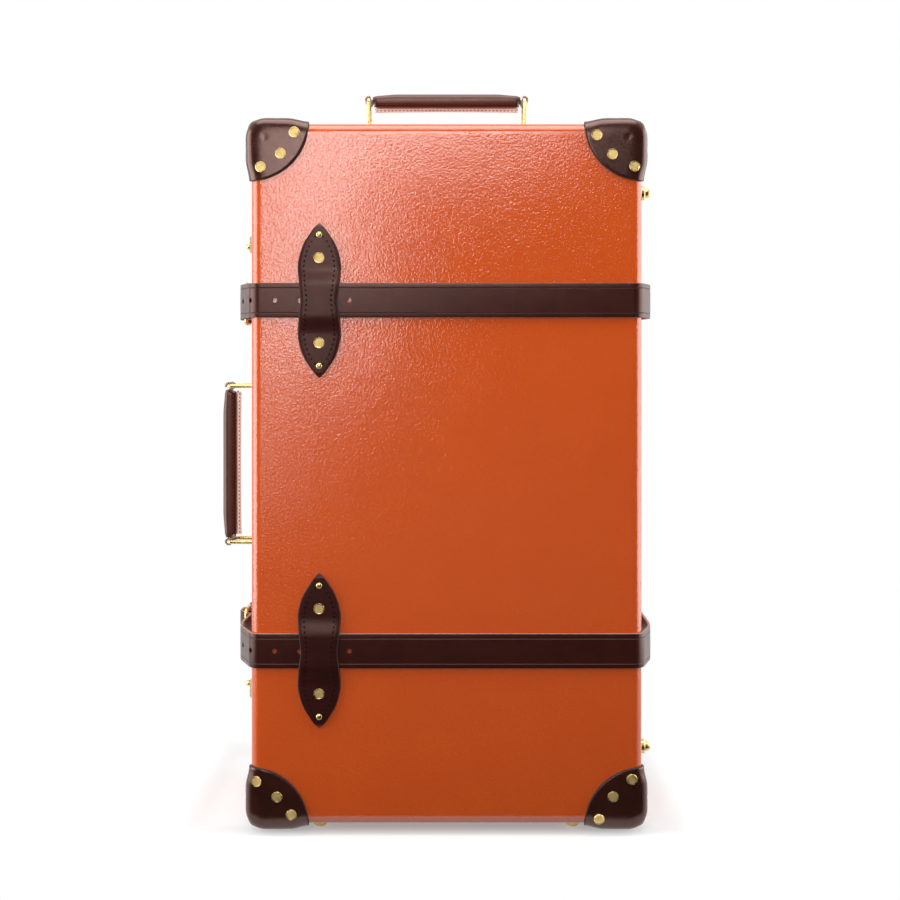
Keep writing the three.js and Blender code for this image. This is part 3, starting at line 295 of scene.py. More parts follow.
class Shape:
    """Points and faces of one piece while it is put together. A face keeps its material's number."""

    def __init__(self):
        self.points = []
        self.faces = []
        self.numbers = []

    def face(self, corners, number=0):
        self.faces.append(tuple(corners))
        self.numbers.append(number)

    def loft(self, rings, closed=False, capped=True, columns=None, number=0):
        """Skins rings of equal count. columns gives a material number for each strip between them."""
        count = len(rings[0])
        start = len(self.points)
        self.points.extend(tuple(point) for ring in rings for point in ring)
        last = len(rings) if closed else len(rings) - 1
        for row in range(last):
            here = start + row * count
            there = start + (row + 1) % len(rings) * count
            for i in range(count):
                j = (i + 1) % count
                strip = columns[i] if columns else number
                self.face((here + i, here + j, there + j, there + i), strip)
        if capped and not closed:
            self.face(reversed(range(start, start + count)), number)
            self.face(range(start + last * count, start + (last + 1) * count), number)

    def turn(self, profile, centre, axis, sides=SIDES, number=0):
        """Turns (radius, height) pairs round an axis, from one end on the axis to the other."""
        axis = Vector(axis).normalized()
        side = axis.orthogonal().normalized()
        other = axis.cross(side)
        centre = Vector(centre)
        self.loft([
            ring_round(centre + axis * height, side * radius, other * radius, sides)
            for radius, height in profile
        ], number=number)

    def piece(self, name, body, materials, slot, sharp=SHARP_ANGLE, node=None):
        """Makes the object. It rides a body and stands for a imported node, where those are given."""
        mesh = bpy.data.meshes.new(name)
        mesh.from_pydata([Vector(point) + CENTRE for point in self.points], [], self.faces)
        for material in materials:
            mesh.materials.append(material)
        mesh.polygons.foreach_set("material_index", self.numbers)
        piece = new_object(name, mesh)
        tidy_mesh(mesh, sharp)
        if body:
            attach(piece, body)
        if node:
            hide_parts(node)
        return piece


def new_object(name, data):
    made = bpy.data.objects.new(name, data)
    bpy.context.scene.collection.objects.link(made)
    return made


def tidy_mesh(mesh, sharp, dissolve=False):
    """Joins equal points, turns faces outward, and shades smooth but for edges sharper than an angle."""
    work = bmesh.new()
    work.from_mesh(mesh)
    bmesh.ops.remove_doubles(work, verts=work.verts, dist=JOIN_DISTANCE)
    if dissolve:
        flat = math.radians(FLAT_ANGLE)
        bmesh.ops.dissolve_limit(work, angle_limit=flat, verts=work.verts, edges=work.edges)
    bmesh.ops.recalc_face_normals(work, faces=work.faces)
    for face in work.faces:
        face.smooth = True
    limit = math.radians(sharp)
    for edge in work.edges:
        edge.smooth = not (edge.is_manifold and edge.calc_face_angle(0) > limit)
    work.to_mesh(mesh)
    work.free()


def cut_away(piece, cutters, sharp=SHARP_ANGLE):
    """Takes the cutters' space out of a piece and removes them."""
    for cutter in cutters:
        modifier = piece.modifiers.new("cut", "BOOLEAN")
        modifier.operation = "DIFFERENCE"
        modifier.solver = "EXACT"
        modifier.object = cutter
    bpy.context.view_layer.update()
    shown = piece.evaluated_get(bpy.context.evaluated_depsgraph_get())
    mesh = bpy.data.meshes.new_from_object(shown)
    piece.modifiers.clear()
    old = piece.data
    piece.data = mesh
    bpy.data.meshes.remove(old)
    for cutter in cutters:
        bpy.data.objects.remove(cutter)
    tidy_mesh(mesh, sharp)


def box_cutter(low, high):
    corners = [(low[0], low[1]), (high[0], low[1]), (high[0], high[1]), (low[0], high[1])]
    shape = Shape()
    shape.loft([[(x, y, z) for x, y in corners] for z in (low[2], high[2])])
    return shape.piece("cutter", None, [], "fibreboard")


def node_box(node):
    """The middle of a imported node, from the case's middle, and half its size."""
    low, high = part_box(node)
    return (low + high) / 2 - CENTRE, (high - low) / 2


def smoothstep(value):
    value = min(max(value, 0), 1)
    return value * value * (3 - 2 * value)


def quarter(steps):
    """Angles from nothing to a right angle."""
    return [i / steps * math.pi / 2 for i in range(steps + 1)]


def circle(count):
    """The cosine and the sine of equal steps round a full turn."""
    angles = [2 * math.pi * k / count for k in range(count)]
    return [(math.cos(angle), math.sin(angle)) for angle in angles]


def ring_round(middle, first, second, count):
    """Points round an ellipse with two given half axes."""
    return [middle + first * cosine + second * sine for cosine, sine in circle(count)]


def both_ways(places):
    """Places on one side of the middle, the first of them in it, and the same on the other side."""
    return [-place for place in places[:0:-1]] + places


def mirrored(profile, axis):
    """A profile and its mirror image, in one line: axis is the coordinate that changes its sign."""
    flip = [(-x, y) if axis == 0 else (x, -y) for x, y in reversed(profile)]
    return profile + flip


def rounded_outline(half_x, half_y, radius, steps):
    """Points round a rectangle with rounded corners, from its right side on."""
    points = []
    for turn, (side_x, side_y) in enumerate([(1, 1), (-1, 1), (-1, -1), (1, -1)]):
        for angle in quarter(steps):
            angle += turn * math.pi / 2
            points.append((
                side_x * (half_x - radius) + radius * math.cos(angle),
                side_y * (half_y - radius) + radius * math.sin(angle),
            ))
    return points


def on_body(point, offset):
    """A point of the sharp box round the case, moved to its rounded surface, with the way out there."""
    core = [half - EDGE_RADIUS for half in HALF]
    nearest = Vector([min(max(point[i], -core[i]), core[i]) for i in range(3)])
    bend = Vector((core[0] - CORNER_EXTRA, core[2] - CORNER_EXTRA))
    away = Vector((abs(point[0]) - bend.x, abs(point[2]) - bend.y))
    if away.x > 0 and away.y > 0:
        arc = bend + away.normalized() * CORNER_EXTRA
        nearest.x = math.copysign(arc.x, point[0])
        nearest.z = math.copysign(arc.y, point[2])
    out = (Vector(point) - nearest).normalized()
    return nearest + out * (EDGE_RADIUS + offset), out


# Materials

class Nodes:
    """Puts nodes into a tree. An input is a plain value or the output of another node."""

    def __init__(self, tree):
        self.tree = tree

    def feed(self, socket, value):
        if isinstance(value, bpy.types.NodeSocket):
            self.tree.links.new(value, socket)
        elif socket.type == "RGBA":
            socket.default_value = (*value, 1)
        else:
            socket.default_value = value

    def add(self, kind, inputs=None, **settings):
        node = self.tree.nodes.new("ShaderNode" + kind)
        for name, value in settings.items():
            setattr(node, name, value)
        for key, value in (inputs or {}).items():
            self.feed(node.inputs[key], value)
        return node

    def maths(self, operation, first, second, clamp=False):
        node = self.add("Math", {0: first, 1: second}, operation=operation, use_clamp=clamp)
        return node.outputs[0]

    def span(self, value, low, high, to_low=0.0, to_high=1.0):
        """Takes a value from one range to another, with soft ends."""
        node = self.add("MapRange", {
            "Value": value, "From Min": low, "From Max": high, "To Min": to_low, "To Max": to_high,
        }, interpolation_type="SMOOTHSTEP")
        return node.outputs["Result"]

    def blend(self, factor, first, second):
        """A colour between two, each a colour or another node's output."""
        return self.add("Mix", {"Factor": factor, 6: first, 7: second}, data_type="RGBA").outputs[2]

    def seen_rays(self):
        """One for what the camera sees, straight or by way of metal and glass, and nothing for the light."""
        rays = self.add("LightPath").outputs
        seen = rays["Is Camera Ray"]
        for name in ("Is Glossy Ray", "Is Transmission Ray"):
            seen = self.maths("ADD", seen, rays[name], clamp=True)
        return seen


class Surface(Nodes):
    """A node material while it is put together. Its patterns have real sizes, in metres."""

    def __init__(self, name, colour, roughness, **values):
        self.material = bpy.data.materials.new(name)
        self.material.use_nodes = True
        super().__init__(self.material.node_tree)
        self.shader = self.tree.nodes["Principled BSDF"]
        self.set(Base_Color=colour, Roughness=roughness, **values)
        self.coordinates = self.add("TexCoord").outputs["Object"]
        self.normal = None

    def set(self, **values):
        for name, value in values.items():
            self.feed(self.shader.inputs[name.replace("_", " ")], value)

    def noise(self, size, detail=3.0, roughness=0.55, distortion=0.0):
        return self.add("TexNoise", {
            "Vector": self.coordinates, "Scale": 1 / size, "Detail": detail,
            "Roughness": roughness, "Distortion": distortion,
        }).outputs["Fac"]

    def pebbles(self, size):
        """Low in the furrows between cells and level on them."""
        cells = self.add("TexVoronoi", {
            "Vector": self.coordinates, "Scale": 1 / size,
        }, feature="DISTANCE_TO_EDGE")
        return self.span(cells.outputs["Distance"], 0, 0.22)

    def waves(self, size, direction):
        return self.add("TexWave", {
            "Vector": self.coordinates, "Scale": math.pi / (10 * size),
        }, bands_direction=direction).outputs["Fac"]

    def patches(self, size, detail, first, second, low=0.35, high=0.7):
        """Soft patches of two colours."""
        return self.blend(self.span(self.noise(size, detail), low, high), first, second)

    def uneven_roughness(self, size, detail, low, high):
        self.set(Roughness=self.span(self.noise(size, detail), 0.3, 0.7, low, high))

    def bump(self, height, depth, strength=1.0):
        """Adds relief of a real depth, in metres, on top of what is there."""
        node = self.add("Bump", {"Distance": depth, "Strength": strength, "Height": height})
        if self.normal:
            self.feed(node.inputs["Normal"], self.normal)
        self.normal = node.outputs["Normal"]
        self.set(Normal=self.normal)


def lacquer_material():
    surface = Surface("orange_lacquer", (0.61, 0.084, 0.0104), 0.1, Specular_IOR_Level=1.0)
    tone = surface.patches(60 * MM, 4, (0.6, 0.082, 0.01), (0.63, 0.089, 0.011))
    surface.set(Base_Color=surface.patches(1.6 * MM, 3, tone, (0.585, 0.079, 0.0096)))
    surface.uneven_roughness(9 * MM, 3, 0.08, 0.12)
    surface.bump(surface.noise(90 * MM, 2), 1.6 * MM, 0.35)
    surface.bump(surface.noise(2.3 * MM, 2, 0.5, 0.4), 0.27 * MM)
    return surface.material


def leather_material(name, dark, light, roughness, grain=1.1, shine=0.95, sheen=0.2):
    surface = Surface(
        name, dark, roughness, Specular_IOR_Level=shine, Specular_Tint=(1, 0.66, 0.58),
        Sheen_Weight=sheen, Sheen_Roughness=0.35, Sheen_Tint=(1, 0.83, 0.76),
    )
    surface.set(Base_Color=surface.patches(18 * MM, 4, dark, light))
    surface.uneven_roughness(7 * MM, 3, roughness - 0.02, roughness + 0.02)
    surface.bump(surface.pebbles(grain * MM), 0.03 * MM, 0.6)
    surface.bump(surface.noise(5 * MM, 3), 0.1 * MM, 0.5)
    return surface.material


def cut_edge_material(name, colour):
    surface = Surface(name, colour, 0.7)
    darker = tuple(0.6 * part for part in colour)
    surface.set(Base_Color=surface.patches(2.5 * MM, 4, colour, darker, 0.35, 0.65))
    surface.bump(surface.noise(0.7 * MM, 3), 0.1 * MM, 0.6)
    return surface.material


def thread_material():
    surface = Surface("dark_thread", (0.003, 0.002, 0.002), 0.8, Specular_IOR_Level=0.1)
    twist = surface.noise(1.2 * MM, 2)
    surface.set(Base_Color=surface.blend(twist, (0.003, 0.002, 0.002), (0.0045, 0.003, 0.003)))
    surface.bump(surface.waves(0.5 * MM, "DIAGONAL"), 0.1 * MM, 0.7)
    return surface.material


def brass_material(name, roughness, grain, depth, strength):
    surface = Surface(name, (0.83, 0.61, 0.25), roughness, Metallic=1.0)
    tarnish = surface.patches(9 * MM, 5, (0.86, 0.64, 0.27), (0.66, 0.45, 0.17), 0.4, 0.75)
    surface.set(Base_Color=tarnish)
    surface.uneven_roughness(3 * MM, 4, roughness - 0.06, roughness + 0.12)
    surface.bump(surface.noise(grain, 3), depth, strength)
    return surface.material


def lining_material():
    surface = Surface("lining_cloth", (0.33, 0.24, 0.16), 0.85, Sheen_Weight=0.25, Sheen_Roughness=0.5)
    weave = surface.maths("MULTIPLY", surface.waves(1.3 * MM, "X"), surface.waves(1.3 * MM, "Z"))
    tone = surface.blend(surface.noise(40 * MM, 3), (0.36, 0.26, 0.17), (0.29, 0.2, 0.13))
    surface.set(Base_Color=surface.blend(weave, tone, (0.42, 0.32, 0.22)))
    surface.bump(weave, 0.18 * MM, 0.6)
    return surface.material


def board_material():
    surface = Surface("valance_board", (0.09, 0.04, 0.025), 0.6)
    fibres = surface.noise(14 * MM, 4)
    surface.set(Base_Color=surface.blend(fibres, (0.1, 0.045, 0.028), (0.065, 0.028, 0.018)))
    surface.bump(surface.noise(1.4 * MM, 4), 0.14 * MM, 0.6)
    return surface.material


def plastic_material(name, shade, roughness):
    surface = Surface(name, (shade,) * 3, roughness)
    surface.uneven_roughness(12 * MM, 3, roughness - 0.05, roughness + 0.1)
    surface.set(Base_Color=surface.blend(surface.noise(25 * MM, 3), (shade,) * 3, (shade * 1.4,) * 3))
    surface.bump(surface.noise(0.9 * MM, 3), 0.05 * MM, 0.6)
    return surface.material


def aluminium_material():
    surface = Surface("brushed_aluminium", (0.62, 0.63, 0.64), 0.3, Metallic=1.0)
    drawn_out = {"Vector": surface.coordinates, "Scale": (1, 1, 0.03)}
    surface.coordinates = surface.add("Mapping", drawn_out).outputs["Vector"]
    streaks = surface.noise(0.7 * MM, 3)
    surface.set(
        Roughness=surface.span(streaks, 0.3, 0.7, 0.26, 0.42),
        Base_Color=surface.blend(streaks, (0.66, 0.67, 0.68), (0.5, 0.51, 0.52)),
    )
    surface.bump(streaks, 0.02 * MM, 0.5)
    return surface.material


LACQUER = lacquer_material()
STRAP_LEATHER = leather_material(
    "strap_leather", (0.026, 0.0034, 0.0022), (0.033, 0.0044, 0.0029), 0.3, shine=0.62)
# Near-black leather for a crease's floor and its wall that faces down: painted shade in the groove.
CREASE_SHADE_LEATHER = leather_material("crease_painted_shade", (0.009, 0.002, 0.0015), (0.014, 0.003, 0.002), 0.6)
KEEPER_SKIN = leather_material(
    "keeper_leather", (0.021, 0.0021, 0.0016), (0.028, 0.0028, 0.0021), 0.33, shine=0.52)
CORNER_SKIN = leather_material(
    "corner_leather", (0.023, 0.0042, 0.0024), (0.031, 0.0056, 0.0032), 0.22, grain=1.3)
GRIP_SKIN = leather_material("grip_leather", (0.036, 0.014, 0.0105), (0.05, 0.02, 0.015), 0.34)
# Pale natural leather, pushed to near-white and cooled against the orange light the case throws on it:
# painted glare on the grip's flange.
PALE_LEATHER_WITH_GLARE = leather_material(
    "natural_leather_painted_glare", (0.93, 0.95, 0.92), (0.97, 0.99, 0.96), 0.6, sheen=0)
PALE_EDGE = cut_edge_material("pale_cut_edge", (0.42, 0.27, 0.2))
DARK_EDGE = cut_edge_material("dark_cut_edge", (0.025, 0.012, 0.01))
THREAD = thread_material()
BRASS = brass_material("brass", 0.26, 1.5 * MM, 0.03 * MM, 0.35)
RIVET_BRASS = brass_material("rivet_face_brass", 0.55, 0.8 * MM, 0.06 * MM, 0.6)
LINING = lining_material()
BOARD = board_material()
BLACK_PLASTIC = plastic_material("black_plastic", 0.018, 0.45)
RUBBER = plastic_material("tyre_rubber", 0.012, 0.75)
ALUMINIUM = aluminium_material()


# Trays and linings

def body_ring(inset, grow, y):
    """Points round the case's outline at a depth, grown all round and then drawn in."""
    outline = rounded_outline(
        HALF.x + grow - inset,
        HALF.z + grow - inset,
        max(EDGE_RADIUS + CORNER_EXTRA + grow - inset, SMALLEST_CORNER),
        CORNER_STEPS,
    )
    return [Vector((x, y, z)) for x, z in outline]


def edge_rings(side, grow):
    """Rings from inside the flat face, round the edge, to the start of the sides."""
    radius = EDGE_RADIUS + grow
    face = HALF.y + grow
    rings = [body_ring(radius + CORNER_EXTRA / 2, grow, side * face)]
    for angle in quarter(EDGE_STEPS):
        y = side * (face - radius * (1 - math.cos(angle)))
        rings.append(body_ring(radius * (1 - math.sin(angle)), grow, y))
    return rings


def tray(body, side, rim, cutters):
    """An open tray with a rounded rim, skinned from its outer face round to its inner face."""
    back = rim + side * RIM_ROUNDING
    rings = edge_rings(side, 0)
    for grow, y in ((0, back), (-RIM_ROUNDING, rim), (RIM_ROUNDING / 2 - WALL, rim), (-WALL, back)):
        rings.append(body_ring(0, grow, y))
    shape = Shape()
    shape.loft(rings + edge_rings(side, -WALL)[::-1])
    piece = shape.piece(body + "_tray", None, [LACQUER], "fibreboard", sharp=30)
    if cutters:
        cut_away(piece, cutters, sharp=30)
    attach(piece, body)
    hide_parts(body + "_shell")


def base_openings():
    """Cutters for the wheel wells and for the pull handle's tubes."""
    cutters = []
    for hand in ("left", "right"):
        middle, half = node_box("wheel_well_" + hand)
        cutters.append(box_cutter(
            middle - half - Vector((FIT_GAP, FIT_GAP, WALL + BOTTOM_DROP)),
            middle + half + Vector((FIT_GAP, WALL, FIT_GAP)),
        ))
    housing, reach = node_box("trolley_housing")
    y = node_box("trolley_bow")[0].y
    half = TUBE_SIZE / 2 + FIT_GAP
    for side in (-1, 1):
        x = housing.x + side * (reach.x - TUBE_MARGIN - TUBE_SIZE / 2)
        cutters.append(box_cutter(
            (x - half, y - half, HALF.z - 2 * WALL),
            (x + half, y + half, HALF.z + WALL),
        ))
    return cutters


def lining(name, side, floor, rim, body):
    """A cloth lining against the inside of a tray's walls, with a flat panel as its floor."""
    outside = -WALL - LINING_GAP
    inside = outside - LINING_THICKNESS
    rings = [body_ring(0, outside, rim), body_ring(0, outside, floor - side * LINING_TURN)]
    for angle in quarter(LINING_TURN_STEPS):
        y = floor - side * LINING_TURN * (1 - math.sin(angle))
        rings.append(body_ring(LINING_TURN * (1 - math.cos(angle)), inside, y))
    rings.append(body_ring(LINING_FLOOR_INSET, inside, floor))
    shape = Shape()
    shape.loft(rings, capped=False)
    shape.face(range(len(shape.points) - len(rings[0]), len(shape.points)))
    shape.piece(name, body, [LINING], "fibreboard", sharp=60)


# Leather corners, rivets and stitches

def cap_offset(across, along, reach, out):
    """How far the leather stands off the body: more on the sides, where it is moulded over the edges."""
    near_edge = math.exp(-(min(across, along) / CAP_BULGE_REACH) ** 2)
    inside = smoothstep((CAP_REACH - reach) / CAP_BULGE_FADE)
    return CAP_LEATHER + CAP_BULGE * near_edge * inside * (1 - out.y ** 2)


def cap_point(side, turn, reach, angle, offset=None):
    """A point of a corner: three quarter discs meet there, and turn picks the one on each face."""
    axes = [(0, 2), (2, 1), (1, 0)][turn]
    across = reach * math.cos(angle)
    along = reach * math.sin(angle)
    point = Vector([side[i] * HALF[i] for i in range(3)])
    point[axes[0]] -= side[axes[0]] * across
    point[axes[1]] -= side[axes[1]] * along
    if offset is None:
        offset = cap_offset(across, along, reach, on_body(point, 0)[1])
    return on_body(point, offset)


def leather_corner(name, side):
    reaches = [CAP_REACH * (i / CAP_ROWS) for i in range(1, CAP_ROWS)]
    reaches.append(CAP_REACH - CAP_ROUNDING)
    rows = [(reach, None) for reach in reaches]
    rows.append((CAP_REACH, CAP_LEATHER - CAP_ROUNDING))
    rows += [(reach, FIT_GAP / 2) for reach in [CAP_REACH] + reaches[::-2]]
    angles = quarter(CAP_COLUMNS)[:-1]
    rings = [
        [cap_point(side, turn, reach, angle, offset)[0] for turn in range(3) for angle in angles]
        for reach, offset in rows
    ]
    shape = Shape()
    shape.loft(rings)
    count = len(rings[0])
    rim = (len(reaches) - 1) * count
    shape.numbers[rim:rim + 2 * count] = [1] * (2 * count)
    body = "lid" if side[1] < 0 else "base"
    shape.piece(name + "_leather", body, [CORNER_SKIN, DARK_EDGE], "leather", sharp=50, node=name)
    places = [(0, across * MM, along * MM) for across, along in CAP_RIVET_PLACES_MM[side[0], side[2]]]
    places += [(turn, CAP_SIDE_RIVET, CAP_SIDE_RIVET) for turn in (1, 2)]
    rivets = Shape()
    for turn, across, along in places:
        place, out = cap_point(side, turn, math.hypot(across, along), math.atan2(along, across))
        add_rivet(rivets, place, out)
    rivets.piece(name + "_rivets", body, [BRASS, RIVET_BRASS], "brass")


def add_head(shape, profile, radius, height, place, out, sides=SIDES, number=0):
    """A turned head, from a profile in shares of its radius and height."""
    shape.turn([(r * radius, h * height) for r, h in profile], place, out, sides, number)


def add_rivet(shape, place, out):
    """A flat rivet head with a turned rim and a rougher middle."""
    for number, profile in enumerate((RIVET_EDGE, RIVET_FACE)):
        add_head(shape, profile, RIVET_RADIUS, RIVET_HEIGHT, place, out, number=number)


def add_stud(shape, place, out):
    """A small domed rivet head."""
    profile = [(0, -0.5), (1, -0.5), (1, 0)]
    profile += [(math.cos(angle), STUD_DOME * math.sin(angle)) for angle in quarter(5)[1:]]
    add_head(shape, profile, STUD_RADIUS, STUD_HEIGHT, place, out, sides=18)


def add_stitch(shape, place, along, out, length, width):
    """One stitch: a short rounded thread that lies on the leather and dips at both ends."""
    along = Vector(along).normalized()
    across = along.cross(out)
    rings = []
    for share in STITCH_STATIONS:
        swell = math.sqrt(max(1 - share * share, STITCH_LEAST_SWELL))
        middle = place + along * (share * length / 2) - out * (STITCH_DIP * width * (1 - swell))
        radius = width / 2 * swell
        rings.append(ring_round(middle, across * radius, out * (STITCH_HEIGHT * radius), STITCH_SIDES))
    shape.loft(rings)


# Straps

STRAP_WIDTH = 2 * node_box("strap_front_upper")[1].z
BUCKLE_MIDDLE, BUCKLE_HALF = node_box("buckle_frame_upper")
BUCKLE_X = BUCKLE_MIDDLE.x
BUCKLE_FAR_Y = BUCKLE_MIDDLE.y - BUCKLE_HALF.y + BUCKLE_WIRE / 2
BUCKLE_BAR_Y = BUCKLE_MIDDLE.y + BUCKLE_HALF.y - BUCKLE_WIRE / 2
BUCKLE_SLACK = BUCKLE_WIRE / 2 + STRAP_CLEARANCE + STRAP_THICKNESS / 2
UNDER_BUCKLE = -BUCKLE_X - BUCKLE_SLACK
BACK_BOW = UNDER_BUCKLE - HALF.x - STRAP_THICKNESS / 2
TAIL_RIDE = -BUCKLE_X + BUCKLE_SLACK + STRAP_THICKNESS + STRAP_CLEARANCE
TAIL_REST = HALF.x + BACK_BOW + STRAP_THICKNESS / 2 + STRAP_THICKNESS + STRAP_CLEARANCE
STRAP_FLAT = HALF.y + FIT_GAP + STRAP_THICKNESS / 2


def strap_line(bow):
    return HALF.x + bow + STRAP_THICKNESS / 2


def corner_run(side_x, side_y, bow):
    """From the flat face round one corner and out to the line where the strap stands off the side."""
    radius = EDGE_RADIUS + FIT_GAP + STRAP_THICKNESS / 2
    middle = Vector((HALF.x - EDGE_RADIUS, HALF.y - EDGE_RADIUS))
    bend = Vector((strap_line(bow), HALF.y * STRAP_BEND_SHARE))
    away = bend - middle
    lift = math.atan2(away.y, away.x) + math.acos(radius / away.length)
    shares = [i / TURN_STEPS for i in range(TURN_STEPS + 1)]
    points = []
    for share in shares:
        angle = math.pi / 2 + (lift - math.pi / 2) * share
        points.append(middle + Vector((math.cos(angle), math.sin(angle))) * radius)
    ease = HALF.y * STRAP_EASE_SHARE
    start = bend + (points[-1] - bend).normalized() * ease / 2
    end = bend - Vector((0, ease))
    for share in shares:
        points.append(start * (1 - share) ** 2 + bend * 2 * share * (1 - share) + end * share ** 2)
    return [Vector((side_x * point.x, side_y * point.y)) for point in points]


def tail_run():
    """The free end: under the far bar of the buckle, over the bar that carries it, along the strap."""
    stations = [
        (-HALF.y * (STRAP_BEND_SHARE - STRAP_EASE_SHARE), strap_line(LEFT_BOW)),
        (BUCKLE_FAR_Y, UNDER_BUCKLE),
        (BUCKLE_BAR_Y - BUCKLE_SLACK, TAIL_RIDE),
        (BUCKLE_BAR_Y + FOLD_LENGTH, TAIL_RIDE),
        (BUCKLE_BAR_Y + LOOP_SETBACK - LOOP_WIDTH / 2, TAIL_REST),
        (BUCKLE_BAR_Y + TAIL_OVERLAP, TAIL_REST),
    ]
    points = []
    for (start, near), (end, far) in zip(stations, stations[1:]):
        for i in range(TURN_STEPS + 1):
            share = i / TURN_STEPS
            out = near + (far - near) * smoothstep(share)
            points.append(Vector((-out, start + (end - start) * share)))
    return points


def place_along(line, distance):
    """The point at a distance along a line in plan, and the way the line runs there."""
    for start, end in zip(line, line[1:]):
        step = (end - start).length
        if step > 0 and distance <= step:
            return start.lerp(end, distance / step), (end - start) / step
        distance -= step
    return line[-1], (line[-1] - line[-2]).normalized()


def evened(points):
    """The same line with its long stretches divided and its doubled points dropped."""
    line = [points[0]]
    for point in points[1:]:
        gap = (point - line[-1]).length
        if gap < STRAP_LEAST_STEP:
            continue
        start = line[-1]
        count = max(1, round(gap / STRAP_STEP))
        line.extend(start.lerp(point, (i + 1) / count) for i in range(count))
    return line


def strap_section():
    """Points across the strap, each (place along Z, height off the leather's middle), and the number of
    the material from each to the next. A crease is painted dark as shade, but for the wall that faces up,
    where light falls."""
    half = STRAP_WIDTH / 2
    top = STRAP_THICKNESS / 2
    rounding = STRAP_ROUNDING
    crease = half - CREASE_INSET
    wide = CREASE_WIDTH / 2
    section = mirrored([
        (half, -top + rounding),
        (half, top - rounding),
        (half - rounding * 0.4, top - rounding * 0.3),
        (half - rounding * 1.4, top),
        (crease + wide, top),
        (crease + wide * CREASE_FLOOR, top - CREASE_DEPTH),
        (crease - wide * CREASE_FLOOR, top - CREASE_DEPTH),
        (crease - wide, top),
        (crease / 2, top + CREASE_DEPTH / 4),
    ], 0)
    section += [(-half + rounding, -top), (half - rounding, -top)]
    # Number 2 paints shade into the creases: their floors and the walls that face down.
    upper = [1, 1, 0, 0, 2, 2, 0, 0, 0]
    lower = [0, 2, 2, 0, 0, 0, 1, 1, 0]
    return section, upper + lower + [0, 1]


def strap(name, line, z, outward, cutters, tip=None):
    """A strap along a line in plan, with its openings. Where tip is given, its end is rounded."""
    section, columns = strap_section()
    line = evened(line)
    rings = []
    for i, point in enumerate(line):
        along = (line[min(i + 1, len(line) - 1)] - line[max(i - 1, 0)]).normalized()
        out = Vector((-along.y, along.x)) * outward
        narrow = 1
        left = (line[-1] - point).length
        if tip and left < tip:
            narrow = math.sqrt(max(1 - (1 - left / tip) ** 2, 0.01))
        rings.append([
            Vector((point.x + out.x * height, point.y + out.y * height, z + across * narrow))
            for across, height in section
        ])
    shape = Shape()
    shape.loft(rings, columns=columns, number=1)
    piece = shape.piece(name, None, [STRAP_LEATHER, PALE_EDGE, CREASE_SHADE_LEATHER], "leather")
    cut_away(piece, cutters)
    return piece


def strap_front(level, z):
    """The half that rides the lid: from the hinges round the front and through the buckle."""
    line = [Vector((strap_line(RIGHT_BOW), SPLIT_Y - STRAP_JOIN))]
    line += corner_run(1, -1, RIGHT_BOW)[::-1] + corner_run(-1, -1, LEFT_BOW) + tail_run()
    prong_y = BUCKLE_FAR_Y + BUCKLE_LENGTH * PRONG_HOLE_SHARE
    slot = box_cutter(
        (-TAIL_RIDE - STRAP_THICKNESS, prong_y - PRONG_SLOT_LENGTH / 2, z - PRONG_SLOT_WIDTH / 2),
        (-HALF.x, BUCKLE_BAR_Y + BUCKLE_WIRE, z + PRONG_SLOT_WIDTH / 2),
    )
    piece = strap("strap_leather_front_" + level, line, z, 1, hole_cutters(z) + [slot], TAIL_TIP)
    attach(piece, "lid")
    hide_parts("strap_front_" + level)


def hole_cutters(z):
    """Punches for the holes, from the one right of the keeper round the left corner, square to the strap."""
    line = [Vector((FIRST_HOLE_X, -STRAP_FLAT))] + corner_run(-1, -1, LEFT_BOW) + tail_run()
    profile = [(HOLE_RADIUS, -STRAP_THICKNESS), (HOLE_RADIUS, STRAP_THICKNESS)]
    punches = []
    for i in range(HOLE_COUNT):
        place, along = place_along(line, i * HOLE_PITCH)
        shape = Shape()
        shape.turn(profile, (place.x, place.y, z), (-along.y, along.x, 0))
        punches.append(shape.piece("punch", None, [], "leather"))
    return punches


def strap_back(level, z):
    """The half with the buckle: from the hinges round the back and round the buckle's bar."""
    line = [Vector((strap_line(RIGHT_BOW), SPLIT_Y - STRAP_JOIN))]
    line += corner_run(1, 1, RIGHT_BOW)[::-1] + corner_run(-1, 1, BACK_BOW)
    for i in range(TURN_STEPS + 1):
        angle = math.pi * i / TURN_STEPS
        fold = Vector((math.cos(angle), -math.sin(angle))) * BUCKLE_SLACK
        line.append(Vector((BUCKLE_X, BUCKLE_BAR_Y)) + fold)
    line.append(Vector((BUCKLE_X - BUCKLE_SLACK, BUCKLE_BAR_Y + FOLD_LENGTH)))
    reach = BUCKLE_SLACK + STRAP_THICKNESS
    slot = box_cutter(
        (BUCKLE_X - reach, BUCKLE_BAR_Y - reach, z - PRONG_SLOT_WIDTH / 2),
        (BUCKLE_X + reach, BUCKLE_BAR_Y + reach, z + PRONG_SLOT_WIDTH / 2),
    )
    piece = strap("strap_leather_back_" + level, line, z, -1, [slot])
    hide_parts("strap_back_" + level)
    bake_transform(piece)


